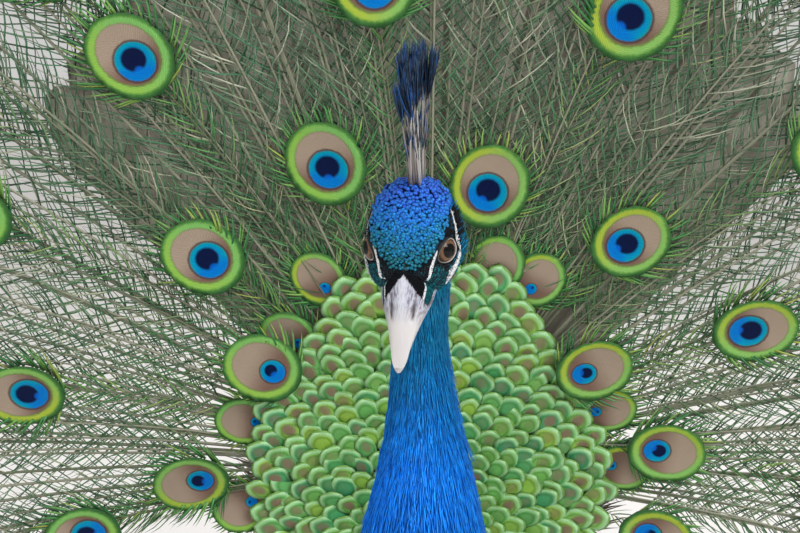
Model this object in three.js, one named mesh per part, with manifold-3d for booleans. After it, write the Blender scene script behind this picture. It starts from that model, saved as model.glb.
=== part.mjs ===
// A life-size male Indian peafowl, standing with its train raised in a fan.
// Millimetres, +Z up. The bird looks along -Y, and its left side is +X.
import * as THREE from "three";
import { mergeVertices } from "three/addons/utils/BufferGeometryUtils.js";
import Module from "manifold-3d";

const wasm = await Module();
wasm.setup();

// ---- driving dimensions ----------------------------------------------------------------

const GAP = 0.35; // clearance between neighbouring solids
const STANCE_Y = 14; // moves the legs along the body, to stand under its weight
const FRAME_SHIFT_Y = 8.3; // puts the middle of the whole outline over the origin

const FAN = {
  centre: [0, 188, 496],
  tilt: THREE.MathUtils.degToRad(16), // forward lean of the raised train
  dish: 0.00017, // how fast the fan curves forward, per mm
  halfAngle: THREE.MathUtils.degToRad(108),
  radius: 1060, // to the tips of the longest feathers
  rootRadius: 62,
  sectors: 7,
  tipsPerSector: 4,
  tipDepth: 34, // depth of the notches between the feather tips
  thickness: 0.9,
};

const SHIELD = { radius: 138, halfAngle: THREE.MathUtils.degToRad(118), lift: 5, thickness: 6 };
const TAIL = { radius: 400, halfAngle: THREE.MathUtils.degToRad(44), lift: -24, thickness: 1.2, feathers: 10 };

const HEAD = {
  centre: [0, -181, 702],
  pitch: THREE.MathUtils.degToRad(56), // bill below the horizontal
  yaw: THREE.MathUtils.degToRad(13), // bill towards the bird's right
  eye: { radius: 7.2, side: 14.4, forward: 5, up: 1.5 },
};
const BILL = { base: 17, length: 42.5, width: 11.6, upper: 9.4, lower: 5.6, gape: -4.6 };
const CREST = { back: 19, root: 13, lean: THREE.MathUtils.degToRad(36), side: 0.085 };

const LEG = {
  side: 58,
  hip: [0, -8, 262],
  knee: [4, 40, 168],
  hock: [4, 46, 148],
  ankle: [5, 12, 20],
};
const TOE = { radius: 5.2, middle: 66, inner: 46, outer: 52, hind: 24, claw: 15, spread: THREE.MathUtils.degToRad(33) };

// ---- helpers ----------------------------------------------------------------------------

const vec = (x, y, z) => new THREE.Vector3(x, y, z);

function solidOf(geometry) {
  const plain = geometry.clone();
  plain.deleteAttribute("normal");
  plain.deleteAttribute("uv");
  const merged = mergeVertices(plain, 1e-3);
  return new wasm.Manifold(
    new wasm.Mesh({
      numProp: 3,
      vertProperties: new Float32Array(merged.attributes.position.array),
      triVerts: new Uint32Array(merged.index.array),
    }),
  );
}

function geometryOf(solid) {
  const mesh = solid.getMesh();
  const geometry = new THREE.BufferGeometry();
  geometry.setAttribute("position", new THREE.BufferAttribute(mesh.vertProperties, 3));
  geometry.setIndex(new THREE.BufferAttribute(mesh.triVerts, 1));
  return geometry;
}

// The geometry left of a piece once its neighbours are cut out of it.
function carve(piece, ...neighbours) {
  return geometryOf(neighbours.reduce((left, n) => left.subtract(solidOf(n)), solidOf(piece)));
}

function join(...pieces) {
  return geometryOf(pieces.map(solidOf).reduce((whole, p) => whole.add(p)));
}

// A closed body through rings. Each ring has a centre, unit side and up vectors, a half
// width, a height above and a depth below the centre.
function loft(rings, sides) {
  const points = [];
  const index = [];
  for (const ring of rings) {
    for (let i = 0; i < sides; i++) {
      const a = (i / sides) * 2 * Math.PI;
      const rise = Math.sin(a) >= 0 ? ring.above : ring.below;
      const fullness = 1 - (ring.jowl ?? 0) * Math.min(0, Math.sin(a));
      const p = ring.at
        .clone()
        .addScaledVector(ring.side, Math.cos(a) * ring.width * fullness)
        .addScaledVector(ring.up, Math.sin(a) * rise);
      points.push(p.x, p.y, p.z);
    }
  }
  for (let r = 0; r + 1 < rings.length; r++) {
    for (let i = 0; i < sides; i++) {
      const a = r * sides + i;
      const b = r * sides + ((i + 1) % sides);
      index.push(a, b, a + sides, b, b + sides, a + sides);
    }
  }
  for (const [ring, first, out] of [
    [rings[0], 0, false],
    [rings.at(-1), (rings.length - 1) * sides, true],
  ]) {
    const middle = points.length / 3;
    points.push(ring.at.x, ring.at.y, ring.at.z);
    for (let i = 0; i < sides; i++) {
      const a = first + i;
      const b = first + ((i + 1) % sides);
      index.push(...(out ? [a, b, middle] : [b, a, middle]));
    }
  }
  const geometry = new THREE.BufferGeometry();
  geometry.setAttribute("position", new THREE.Float32BufferAttribute(points, 3));
  geometry.setIndex(index);
  return facingOut(geometry);
}

// Turns a closed geometry's faces round where they point inwards.
function facingOut(geometry) {
  const p = geometry.attributes.position;
  const index = geometry.index.array;
  let volume = 0;
  for (let i = 0; i < index.length; i += 3) {
    const [a, b, c] = [0, 1, 2].map((k) => new THREE.Vector3().fromBufferAttribute(p, index[i + k]));
    volume += a.dot(b.cross(c));
  }
  if (volume < 0) {
    for (let i = 0; i < index.length; i += 3) {
      [index[i + 1], index[i + 2]] = [index[i + 2], index[i + 1]];
    }
  }
  return geometry;
}

// A smooth value along a list of [place, value] stops.
function along(stops, t) {
  const last = stops.length - 1;
  if (t <= stops[0][0]) return stops[0][1];
  if (t >= stops[last][0]) return stops[last][1];
  let k = 0;
  while (stops[k + 1][0] < t) k++;
  const slope = (i) => {
    const [a, b] = [Math.max(i - 1, 0), Math.min(i + 1, last)];
    return (stops[b][1] - stops[a][1]) / (stops[b][0] - stops[a][0]);
  };
  const span = stops[k + 1][0] - stops[k][0];
  const u = (t - stops[k][0]) / span;
  const [u2, u3] = [u * u, u * u * u];
  return (
    (2 * u3 - 3 * u2 + 1) * stops[k][1] +
    (u3 - 2 * u2 + u) * span * slope(k) +
    (3 * u2 - 2 * u3) * stops[k + 1][1] +
    (u3 - u2) * span * slope(k + 1)
  );
}

// Rings along a curve that stays in a plane of constant X.
function ringsAlong(curve, shape, from, to, count, grow = 0) {
  return Array.from({ length: count + 1 }, (_, i) => {
    const t = from + ((to - from) * i) / count;
    const tangent = curve.getTangentAt(t);
    const up = vec(0, -tangent.z, tangent.y).normalize();
    const [width, above, below] = shape(t);
    return {
      at: curve.getPointAt(t),
      side: vec(1, 0, 0),
      up,
      width: width + grow,
      above: above + grow,
      below: below + grow,
    };
  });
}

// A straight tapered limb between two points, with rounded ends.
function limb(a, b, startRadius, endRadius, sides = 10, grow = 0) {
  const axis = b.clone().sub(a).normalize();
  const side = Math.abs(axis.x) > 0.9 ? vec(0, 1, 0) : vec(1, 0, 0);
  side.addScaledVector(axis, -side.dot(axis)).normalize();
  const up = axis.clone().cross(side);
  const rings = [
    [-0.8, 0.55, a, startRadius],
    [-0.1, 1, a, startRadius],
    [0.1, 1, b, endRadius],
    [0.8, 0.55, b, endRadius],
  ].map(([shift, share, end, radius]) => {
    const size = radius * share + grow;
    return {
      at: end.clone().addScaledVector(axis, shift * radius + Math.sign(shift) * grow),
      side,
      up,
      width: size,
      above: size,
      below: size,
    };
  });
  return loft(rings, sides);
}

const feather = (colour) => new THREE.MeshStandardMaterial({ color: colour, roughness: 0.6, metalness: 0 });
const MATERIALS = {
  crown: feather(0x1a4fc0),
  neck: feather(0x0f4fb8),
  body: feather(0x1b5d8c),
  scales: feather(0x5fa83a),
  train: feather(0x3d6b3c),
  tail: feather(0x6d5a48),
  wing: feather(0xc8b89a),
  flight: feather(0xa8602c),
  thigh: feather(0xcdbfa4),
  crest: feather(0x12406e),
  bill: new THREE.MeshStandardMaterial({ color: 0xd8d2d2, roughness: 0.4, metalness: 0 }),
  eye: new THREE.MeshStandardMaterial({ color: 0x2a1a10, roughness: 0.1, metalness: 0 }),
  leg: new THREE.MeshStandardMaterial({ color: 0x8a7f74, roughness: 0.6, metalness: 0 }),
  claw: new THREE.MeshStandardMaterial({ color: 0x4a4038, roughness: 0.4, metalness: 0 }),
};

const bird = new THREE.Group();
bird.position.y = FRAME_SHIFT_Y;

function add(name, geometry, material, parent = bird) {
  const mesh = new THREE.Mesh(geometry, MATERIALS[material]);
  mesh.name = name;
  parent.add(mesh);
  return mesh;
}

// ---- neck and trunk: one loft along the spine, parted by thin cuts ---------------------

const SPINE = new THREE.CatmullRomCurve3(
  [
    [-178, 709],
    [-157, 682],
    [-150, 645],
    [-152, 600],
    [-163, 552],
    [-167, 502],
    [-148, 446],
    [-96, 398],
    [-16, 358],
    [76, 352],
    [150, 374],
    [192, 414],
    [203, 462],
  ].map(([y, z]) => vec(0, y, z)),
  false,
  "centripetal",
);

// Half width, depth to the back or upper side, and depth to the breast or belly.
const STOPS = [0, 0.05, 0.09, 0.14, 0.2, 0.28, 0.38, 0.5, 0.64, 0.78, 0.9, 1];
const HALF_WIDTHS = [15, 16, 15, 18, 26, 40, 61, 82, 97, 93, 69, 40];
const BACK_DEPTHS = [14, 17, 17, 19, 24, 32, 44, 62, 80, 84, 54, 28];
const BREAST_DEPTHS = [14, 17, 18, 22, 30, 44, 68, 93, 106, 90, 62, 34];
// The curve runs down the neck and back along the trunk, so a ring's upper side is the bird's back.
const stopsOf = (values) => values.map((value, i) => [STOPS[i], value]);
const [WIDTH, BREAST, BACK] = [HALF_WIDTHS, BREAST_DEPTHS, BACK_DEPTHS].map(stopsOf);
const bodyShape = (t) => [along(WIDTH, t), along(BACK, t), along(BREAST, t)];

const CUTS = [0.015, 0.15, 0.27, 0.41, 0.69, 1];
const PARTS = ["neck_upper", "neck_middle", "neck_lower", "breast", "rump"];
const PART_RINGS = [6, 5, 5, 6, 6];

function partRings(part, grow = 0) {
  const cut = GAP / 2 / SPINE.getLength();
  return ringsAlong(SPINE, bodyShape, CUTS[part] + cut, CUTS[part + 1] - cut, PART_RINGS[part], grow);
}

const spinePart = (part) => loft(partRings(part), 20);
const wholeBody = (grow) => loft(PARTS.flatMap((_, part) => partRings(part, grow)), 20);

// ---- head, built level in its own frame, then turned -------------------------------------

const headFrame = new THREE.Group();
headFrame.position.set(...HEAD.centre);
headFrame.rotation.set(HEAD.pitch, 0, -HEAD.yaw, "ZXY");
headFrame.updateMatrix();
const inBird = (geometry) => geometry.clone().applyMatrix4(headFrame.matrix);

// Head rings run from the nape (+Y) forward to the bill.
const HEAD_LENGTH = { back: 27, front: 22 };
const HEAD_WIDTH = [[0, 7], [0.12, 14.6], [0.3, 19], [0.5, 21.4], [0.66, 21.2], [0.82, 19.2], [1, 15]];
const HEAD_TOP = [[0, 8], [0.12, 15.6], [0.3, 19.8], [0.5, 19.6], [0.68, 16], [0.85, 11], [1, 6.6]];
const HEAD_CHIN = [[0, 6], [0.12, 12], [0.3, 16.5], [0.5, 17.5], [0.68, 15.4], [0.85, 12.4], [1, 9.2]];
// How much fuller the feathered cheeks are below the middle of the head.
const HEAD_JOWL = [[0, 0], [0.3, 0.15], [0.5, 0.36], [0.68, 0.45], [0.85, 0.42], [1, 0.25]];

function headShape(grow = 0) {
  const count = 10;
  const rings = Array.from({ length: count + 1 }, (_, i) => {
    const t = i / count;
    const end = i === 0 ? 1 : i === count ? -1 : 0;
    const y = HEAD_LENGTH.back - t * (HEAD_LENGTH.back + HEAD_LENGTH.front) + end * grow;
    return {
      at: vec(0, y, -2 * t),
      side: vec(1, 0, 0),
      up: vec(0, 0, 1),
      width: along(HEAD_WIDTH, t) + grow,
      above: along(HEAD_TOP, t) + grow,
      below: along(HEAD_CHIN, t) + grow,
      jowl: along(HEAD_JOWL, t),
    };
  });
  return loft(rings, 18);
}

function eyeBall(sign, grow = 0) {
  const ball = new THREE.SphereGeometry(HEAD.eye.radius + grow, 12, 8);
  return ball.translate(sign * HEAD.eye.side, -HEAD.eye.forward, HEAD.eye.up);
}

// One half of the bill: a tapering half-round horn from the base to the tip.
function billHalf(upper, grow = 0) {
  const count = 7;
  const rings = Array.from({ length: count + 1 }, (_, i) => {
    const t = i / count;
    const length = upper ? BILL.length : BILL.length - 6;
    const taper = Math.sqrt(1 - 0.98 * Math.pow(t, upper ? 2.1 : 1.8)) * (1 - 0.4 * t);
    const reach = (t * length) / BILL.length;
    const height = (upper ? BILL.upper : BILL.lower) * taper + grow;
    const seam = upper ? GAP / 2 : -GAP / 2;
    const droop = -1.6 * reach - 4.6 * reach * reach * reach;
    return {
      at: vec(0, -BILL.base + 10 - t * (length + 10), BILL.gape + droop + seam),
      side: vec(1, 0, 0),
      up: vec(0, 0, 1),
      width: BILL.width * taper + grow,
      above: upper ? height : 0.02 + grow,
      below: upper ? 0.02 + grow : height,
    };
  });
  return loft(rings, 14);
}

// A fan of bare shafts ending in vanes, thin across the head and spread along it.
function crestShape() {
  const [sin, cos] = [Math.sin(CREST.lean), Math.cos(CREST.lean)];
  const rings = [
    [-6, 2.8, 4],
    [8, 3, 5.5],
    [27, 4, 11],
    [34, 7, 15],
    [45, 8.8, 20],
    [56, 8.4, 23],
    [62.5, 4, 16],
  ].map(([rise, width, reach]) => ({
    at: vec(CREST.side * rise, CREST.back + rise * sin, CREST.root + rise * cos),
    side: vec(1, 0, 0),
    up: vec(0, cos, -sin),
    width,
    above: reach,
    below: reach,
  }));
  return loft(rings, 12);
}

function addHead() {
  bird.add(headFrame);
  const eyes = [eyeBall(1, GAP), eyeBall(-1, GAP)];
  add("head", carve(headShape(), ...eyes), "crown", headFrame);
  add("eye_left", eyeBall(1), "eye", headFrame);
  add("eye_right", eyeBall(-1), "eye", headFrame);
  const grown = headShape(GAP);
  add("bill_upper", carve(billHalf(true), grown), "bill", headFrame);
  add("bill_lower", carve(billHalf(false), grown, billHalf(true, GAP)), "bill", headFrame);
  add("crest", carve(crestShape(), grown), "crest", headFrame);
}

function addBody() {
  const grownHead = inBird(headShape(GAP));
  PARTS.forEach((name, part) => {
    const neck = name.startsWith("neck");
    add(name, neck ? carve(spinePart(part), grownHead) : spinePart(part), neck ? "neck" : "body");
  });
}

// ---- wings: closed, a little drooped, with the flight feathers behind ------------------

function wingShape(sign, grow = 0) {
  const line = new THREE.CatmullRomCurve3(
    [[-112, 386], [-60, 380], [20, 368], [100, 352], [176, 326]].map(([y, z]) => vec(0, y, z)),
  );
  const width = [[0, 12], [0.2, 30], [0.5, 36], [0.8, 28], [1, 10]];
  const height = [[0, 22], [0.2, 56], [0.5, 74], [0.8, 62], [1, 30]];
  const reach = [[0, 66], [0.2, 79], [0.5, 86], [0.8, 78], [1, 62]];
  const shape = (t) => [along(width, t), along(height, t), along(height, t)];
  const rings = ringsAlong(line, shape, 0, 1, 8, grow);
  rings.forEach((ring, i) => ring.at.setX(sign * along(reach, i / 8)));
  return loft(rings, 14);
}

function flightShape(sign) {
  const line = new THREE.CatmullRomCurve3(
    [[60, 330], [140, 290], [210, 226], [262, 150]].map(([y, z]) => vec(0, y, z)),
  );
  const height = [[0, 44], [0.35, 52], [0.7, 38], [1, 12]];
  const shape = (t) => [5 - 2.5 * t, along(height, t), along(height, t)];
  const rings = ringsAlong(line, shape, 0, 1, 7);
  rings.forEach((ring, i) => ring.at.setX(sign * (94 + 26 * (i / 7))));
  return loft(rings, 10);
}

function addWings() {
  const trunk = wholeBody(GAP);
  for (const [side, sign] of [["left", 1], ["right", -1]]) {
    add("wing_" + side, carve(wingShape(sign), trunk), "wing");
    add("primaries_" + side, carve(flightShape(sign), trunk, wingShape(sign, GAP)), "flight");
  }
}

// ---- legs -------------------------------------------------------------------------------

const at = (sign, [x, y, z]) => vec(sign * (LEG.side + x), y + STANCE_Y, z);

function thighShape(sign, grow = 0) {
  return limb(at(sign, LEG.hip), at(sign, LEG.knee), 46, 17, 14, grow);
}

function shankShape(sign, grow = 0) {
  return limb(at(sign, LEG.hock), at(sign, LEG.ankle), 8.6, 6.8, 10, grow);
}

// Direction, length and start of each toe, as seen from above with the middle toe forward.
function toesOf(sign) {
  const root = at(sign, LEG.ankle).setZ(TOE.radius - 0.7);
  return [
    ["middle", 0, TOE.middle],
    ["inner", -sign * TOE.spread, TOE.inner],
    ["outer", sign * TOE.spread * 1.1, TOE.outer],
    ["hind", Math.PI - sign * 0.25, TOE.hind],
  ].map(([name, turn, length]) => {
    const direction = vec(Math.sin(turn), -Math.cos(turn), 0);
    return { name, direction, root, tip: root.clone().addScaledVector(direction, length + 6) };
  });
}

function footShape(sign, grow = 0) {
  const toes = toesOf(sign).map((toe) => limb(toe.root, toe.tip, TOE.radius + 0.6, TOE.radius - 1, 8, grow));
  const pad = new THREE.SphereGeometry(10.5 + grow, 10, 7).scale(1, 1, 1.15);
  const ankle = at(sign, LEG.ankle);
  pad.translate(ankle.x, ankle.y, ankle.z - 9);
  const floor = new THREE.BoxGeometry(400, 400, 40).translate(ankle.x, ankle.y, -20);
  return carve(join(pad, ...toes), floor);
}

function clawShape(toe) {
  const line = [0, 0.5, 1].map((t) => ({
    at: toe.tip.clone().addScaledVector(toe.direction, t * TOE.claw - 1).setZ(5.2 - 3.4 * t * t),
    side: vec(-toe.direction.y, toe.direction.x, 0),
    up: vec(0, 0, 1),
    width: 2.9 * (1 - 0.75 * t),
    above: 3.4 * (1 - 0.75 * t),
    below: 3 * (1 - 0.75 * t),
  }));
  return loft(line, 6);
}

function addLegs() {
  const trunk = wholeBody(GAP);
  for (const [side, sign] of [["left", 1], ["right", -1]]) {
    const wing = wingShape(sign, GAP);
    const foot = footShape(sign);
    add("thigh_" + side, carve(thighShape(sign), trunk, wing), "thigh");
    add("shank_" + side, carve(shankShape(sign), thighShape(sign, GAP), footShape(sign, GAP)), "leg");
    add("foot_" + side, foot, "leg");
    for (const toe of toesOf(sign)) {
      add("claw_" + side + "_" + toe.name, carve(clawShape(toe), footShape(sign, GAP)), "claw");
    }
  }
}

// ---- train, its scaly shield and the true tail --------------------------------------------

const fanUp = vec(0, -Math.sin(FAN.tilt), Math.cos(FAN.tilt));
const fanOut = vec(0, -Math.cos(FAN.tilt), -Math.sin(FAN.tilt));

// A point of the fan at a radius and an angle from straight up, raised off its surface.
function fanPoint(radius, angle, lift) {
  return vec(...FAN.centre)
    .addScaledVector(vec(1, 0, 0), radius * Math.sin(angle))
    .addScaledVector(fanUp, radius * Math.cos(angle))
    .addScaledVector(fanOut, FAN.dish * radius * radius + lift);
}

// A closed plate over a stretch of the fan. edge(angle) is its outer radius.
function fanPlate({ from, to, inner, edge, lift, thickness, steps, rings }) {
  const points = [];
  const index = [];
  const row = rings + 1;
  const layer = (steps + 1) * row;
  const middle = (from + to) / 2;
  for (const height of [lift, lift + thickness]) {
    for (let i = 0; i <= steps; i++) {
      const turn = ((to - from) * (i - steps / 2)) / steps;
      for (let j = 0; j <= rings; j++) {
        const radius = inner + (edge(middle + turn) - inner) * Math.pow(j / rings, 0.85);
        const angle = middle + turn * (1 - GAP / (radius * (to - from)));
        const p = fanPoint(radius, angle, height);
        points.push(p.x, p.y, p.z);
      }
    }
  }
  const quad = (a, b, c, d) => index.push(a, b, c, a, c, d);
  for (let i = 0; i < steps; i++) {
    for (let j = 0; j < rings; j++) {
      const a = i * row + j;
      quad(a, a + 1, a + row + 1, a + row);
      quad(layer + a, layer + a + row, layer + a + row + 1, layer + a + 1);
    }
    const [near, far] = [i * row, i * row + rings];
    quad(near, near + row, layer + near + row, layer + near);
    quad(far, layer + far, layer + far + row, far + row);
  }
  for (let j = 0; j < rings; j++) {
    const last = steps * row + j;
    quad(j, layer + j, layer + j + 1, j + 1);
    quad(last, last + 1, layer + last + 1, layer + last);
  }
  const geometry = new THREE.BufferGeometry();
  geometry.setAttribute("position", new THREE.Float32BufferAttribute(points, 3));
  geometry.setIndex(index);
  return facingOut(geometry);
}

function addTrainRoot() {
  const r = FAN.rootRadius - GAP;
  const outline = [[0, -36], [r * 0.5, -33], [r * 0.84, -24], [r, -10], [r, 2.6], [r * 0.8, 3.8], [0, 3.8]];
  const disc = new THREE.LatheGeometry(outline.map(([x, y]) => new THREE.Vector2(x, y)), 28);
  const toFan = new THREE.Matrix4().makeBasis(vec(1, 0, 0), fanOut, fanUp.clone());
  disc.applyMatrix4(toFan).translate(...FAN.centre);
  add("train_root", carve(facingOut(mergeVertices(bare(disc))), wholeBody(GAP)), "scales");
}

function bare(geometry) {
  geometry.deleteAttribute("normal");
  geometry.deleteAttribute("uv");
  return geometry;
}

function addTrain() {
  const width = (2 * FAN.halfAngle) / FAN.sectors;
  const pitch = width / FAN.tipsPerSector;
  const names = ["right_low", "right_side", "right_high", "middle", "left_high", "left_side", "left_low"];
  names.forEach((name, s) => {
    const from = -FAN.halfAngle + s * width;
    const edge = (angle) => {
      const phase = Math.abs(Math.sin(((angle + FAN.halfAngle) / pitch) * Math.PI));
      return FAN.radius - FAN.tipDepth * (1 - Math.pow(phase, 0.7));
    };
    const plate = fanPlate({
      from,
      to: from + width,
      inner: FAN.rootRadius,
      edge,
      lift: 0,
      thickness: FAN.thickness,
      steps: FAN.tipsPerSector * 4,
      rings: 4,
    });
    add("train_" + name, carve(plate, wholeBody(GAP)), "train");
  });
  const shield = fanPlate({
    from: -SHIELD.halfAngle,
    to: SHIELD.halfAngle,
    inner: 4,
    edge: (angle) => SHIELD.radius * (1 + 0.2 * Math.max(0, Math.cos(angle))),
    lift: SHIELD.lift,
    thickness: SHIELD.thickness,
    steps: 24,
    rings: 3,
  });
  const wings = [wingShape(1, GAP), wingShape(-1, GAP)];
  add("train_shield", carve(shield, wholeBody(GAP), ...wings), "scales");
}

function addTail() {
  for (const [side, from, to] of [["left", 0, TAIL.halfAngle], ["right", -TAIL.halfAngle, 0]]) {
    const plate = fanPlate({
      from,
      to,
      inner: FAN.rootRadius,
      edge: (angle) => {
        const phase = Math.abs(Math.sin((angle / TAIL.halfAngle) * TAIL.feathers * Math.PI));
        return TAIL.radius - 14 * (1 - Math.pow(phase, 0.7)) - 40 * Math.pow(angle / TAIL.halfAngle, 2);
      },
      lift: TAIL.lift,
      thickness: TAIL.thickness,
      steps: TAIL.feathers * 2,
      rings: 2,
    });
    add("tail_" + side, plate, "tail");
  }
}

addHead();
addBody();
addWings();
addLegs();
addTrainRoot();
addTrain();
addTail();

export default bird;
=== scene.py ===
"""A displaying peacock: skin, plumage, bill, eyes, legs and train over its CAD frame."""

import math

import bmesh
import bpy
import numpy as np
from mathutils import Euler, Matrix, Vector
from mathutils.bvhtree import BVHTree


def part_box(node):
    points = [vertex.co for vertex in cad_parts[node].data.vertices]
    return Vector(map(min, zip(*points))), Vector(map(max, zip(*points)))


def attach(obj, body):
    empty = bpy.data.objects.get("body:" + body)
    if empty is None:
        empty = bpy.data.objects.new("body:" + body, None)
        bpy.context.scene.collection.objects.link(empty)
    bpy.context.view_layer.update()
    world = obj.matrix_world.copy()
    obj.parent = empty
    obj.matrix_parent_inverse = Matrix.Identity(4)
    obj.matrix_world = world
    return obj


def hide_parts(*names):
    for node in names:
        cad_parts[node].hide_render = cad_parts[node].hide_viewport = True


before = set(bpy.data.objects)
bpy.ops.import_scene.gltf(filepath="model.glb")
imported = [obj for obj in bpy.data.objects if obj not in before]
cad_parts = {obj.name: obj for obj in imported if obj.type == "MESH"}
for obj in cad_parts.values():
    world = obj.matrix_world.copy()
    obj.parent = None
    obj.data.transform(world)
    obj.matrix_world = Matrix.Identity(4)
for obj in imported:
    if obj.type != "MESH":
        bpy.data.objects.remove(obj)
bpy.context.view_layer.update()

bl_info = {
    "name": "Displaying Peacock",
    "version": (1, 0, 0),
    "blender": (4, 5, 0),
    "location": "3D View > Sidebar > Peacock",
    "description": "Dresses a life-size displaying peacock in skin, feathers and horn",
    "category": "Object",
}

SIDES = (("left", 1), ("right", -1))
SECTORS = ("right_low", "right_side", "right_high", "middle", "left_high", "left_side", "left_low")

# The frame's own sizes, in metres.
SHIFT = 0.0083
SPINE = (
    (-0.178, 0.709), (-0.157, 0.682), (-0.150, 0.645), (-0.152, 0.600), (-0.163, 0.552),
    (-0.167, 0.502), (-0.148, 0.446), (-0.096, 0.398), (-0.016, 0.358), (0.076, 0.352),
    (0.150, 0.374), (0.192, 0.414), (0.203, 0.462),
)
HEAD = (
    Matrix.Translation((0, -0.181 + SHIFT, 0.702))
    @ Matrix.Rotation(math.radians(-13), 4, "Z")
    @ Matrix.Rotation(math.radians(56), 4, "X")
)
FAN_CENTRE = np.array((0, 0.188 + SHIFT, 0.496))
FAN_TILT = math.radians(16)
FAN_DISH = 0.17
FAN_SIDE = np.array((1.0, 0, 0))
FAN_UP = np.array((0, -math.sin(FAN_TILT), math.cos(FAN_TILT)))
FAN_OUT = np.array((0, -math.cos(FAN_TILT), -math.sin(FAN_TILT)))

# Eyes of the train nearest the body: degrees from straight up, and millimetres from the fan's centre.
EYE_ROWS = (
    (140, (-50, 50)), (160, (-90, 80, 105)), (220, (-40, 10, 35)), (240, (-100, -15, 60)), (275, (-75, 90)),
    (350, np.linspace(-105, 95, 9)),
)
YOUNG_ROWS = ((165, (-25, -5, 15, 25)), (140, (-40,)), (130, (-100, -70, 65, 85)))
# How far out the shield's scale feathers are rooted at its sides and top, and how wide its top is.
SHIELD_SIDE, SHIELD_TOP, SHIELD_ROUND = 0.115, 0.16, 0.6


# ---- numbers ----------------------------------------------------------------------------


def unit(vectors):
    return vectors / np.maximum(np.linalg.norm(vectors, axis=-1, keepdims=True), 1e-12)


def flat_on(ways, facing):
    """Unit ways that lie in surfaces with the given facings."""
    return unit(ways - (ways * facing).sum(-1, keepdims=True) * facing)


def smooth(low, high, value):
    step = np.clip((np.asarray(value, float) - low) / (high - low), 0, 1)
    return step * step * (3 - 2 * step)


def turned(angle):
    """Unit steps across and up the fan for an angle from straight up."""
    return np.stack((np.sin(angle), np.cos(angle)), -1)


def fan_points(flat, lift):
    """Points of the fan from flat places (..., 2) and heights in front of its surface."""
    x, y = flat[..., 0], flat[..., 1]
    depth = FAN_DISH * (x * x + y * y) + lift
    return FAN_CENTRE + x[..., None] * FAN_SIDE + y[..., None] * FAN_UP + depth[..., None] * FAN_OUT


def fan_facing(flat):
    slope = 2 * FAN_DISH * flat
    return unit(FAN_OUT - slope[..., :1] * FAN_SIDE - slope[..., 1:] * FAN_UP)


def spine_line(count=500):
    """Evenly spaced points down the neck and along the back."""
    knots = np.array([(0, y + SHIFT, z) for y, z in SPINE])
    padded = np.vstack((2 * knots[0] - knots[1], knots, 2 * knots[-1] - knots[-2]))
    line = []
    for a, b, c, d in zip(padded, padded[1:], padded[2:], padded[3:]):
        u = np.linspace(0, 1, 60, endpoint=False)[:, None]
        straight, square, cube = c - a, 2 * a - 5 * b + 4 * c - d, 3 * b - a - 3 * c + d
        line.append(0.5 * (2 * b + straight * u + square * u**2 + cube * u**3))
    line = np.vstack(line + [knots[-1:]])
    reach = np.concatenate(([0], np.cumsum(np.linalg.norm(np.diff(line, axis=0), axis=1))))
    even = np.linspace(0, reach[-1], count)
    return np.stack([np.interp(even, reach, line[:, k]) for k in range(3)], -1), reach[-1]


SPINE_LINE, SPINE_LENGTH = spine_line()
SPINE_ALONG = unit(np.gradient(SPINE_LINE, axis=0))


def place_on_body(points):
    """How far along the spine each point lies, and how far round from back to belly."""
    gaps = ((points[:, None, 1:] - SPINE_LINE[None, ::4, 1:]) ** 2).sum(-1)
    nearest = gaps.argmin(1) * 4
    along = SPINE_ALONG[nearest]
    back = np.stack((np.zeros(len(points)), -along[:, 2], along[:, 1]), -1)
    out = points - SPINE_LINE[nearest]
    rise = (out * back).sum(-1)
    return nearest / (len(SPINE_LINE) - 1), np.arctan2(np.abs(out[:, 0]), rise) / math.pi


# ---- finishes ----------------------------------------------------------------------------


class Value:
    """A socket of a finish's nodes that can be used in sums."""

    def __init__(self, finish, socket):
        self.finish = finish
        self.socket = socket

    def maths(self, operation, *terms, clamp=False):
        settings = {"operation": operation, "use_clamp": clamp}
        return self.finish.node("ShaderNodeMath", settings, dict(enumerate(terms)))

    def __add__(self, other):
        return self.maths("ADD", self, other)

    __radd__ = __add__

    def __sub__(self, other):
        return self.maths("SUBTRACT", self, other)

    def __rsub__(self, other):
        return self.maths("SUBTRACT", other, self)

    def __mul__(self, other):
        return self.maths("MULTIPLY", self, other)

    __rmul__ = __mul__

    def __truediv__(self, other):
        return self.maths("DIVIDE", self, other)

    def __rtruediv__(self, other):
        return self.maths("DIVIDE", other, self)

    def __pow__(self, power):
        return self.maths("POWER", self, power)

    def size(self):
        return self.maths("ABSOLUTE", self)

    def between(self, low, high):
        """0 below low, 1 above high, smooth in between; the other way round if low is higher."""
        sockets = {"Value": self, "From Min": low, "From Max": high}
        return self.finish.node("ShaderNodeMapRange", {"interpolation_type": "SMOOTHSTEP"}, sockets)

    def ramp(self, *stops):
        return self.finish.node("ShaderNodeValToRGB", {"stops": stops}, {"Fac": self})


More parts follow.
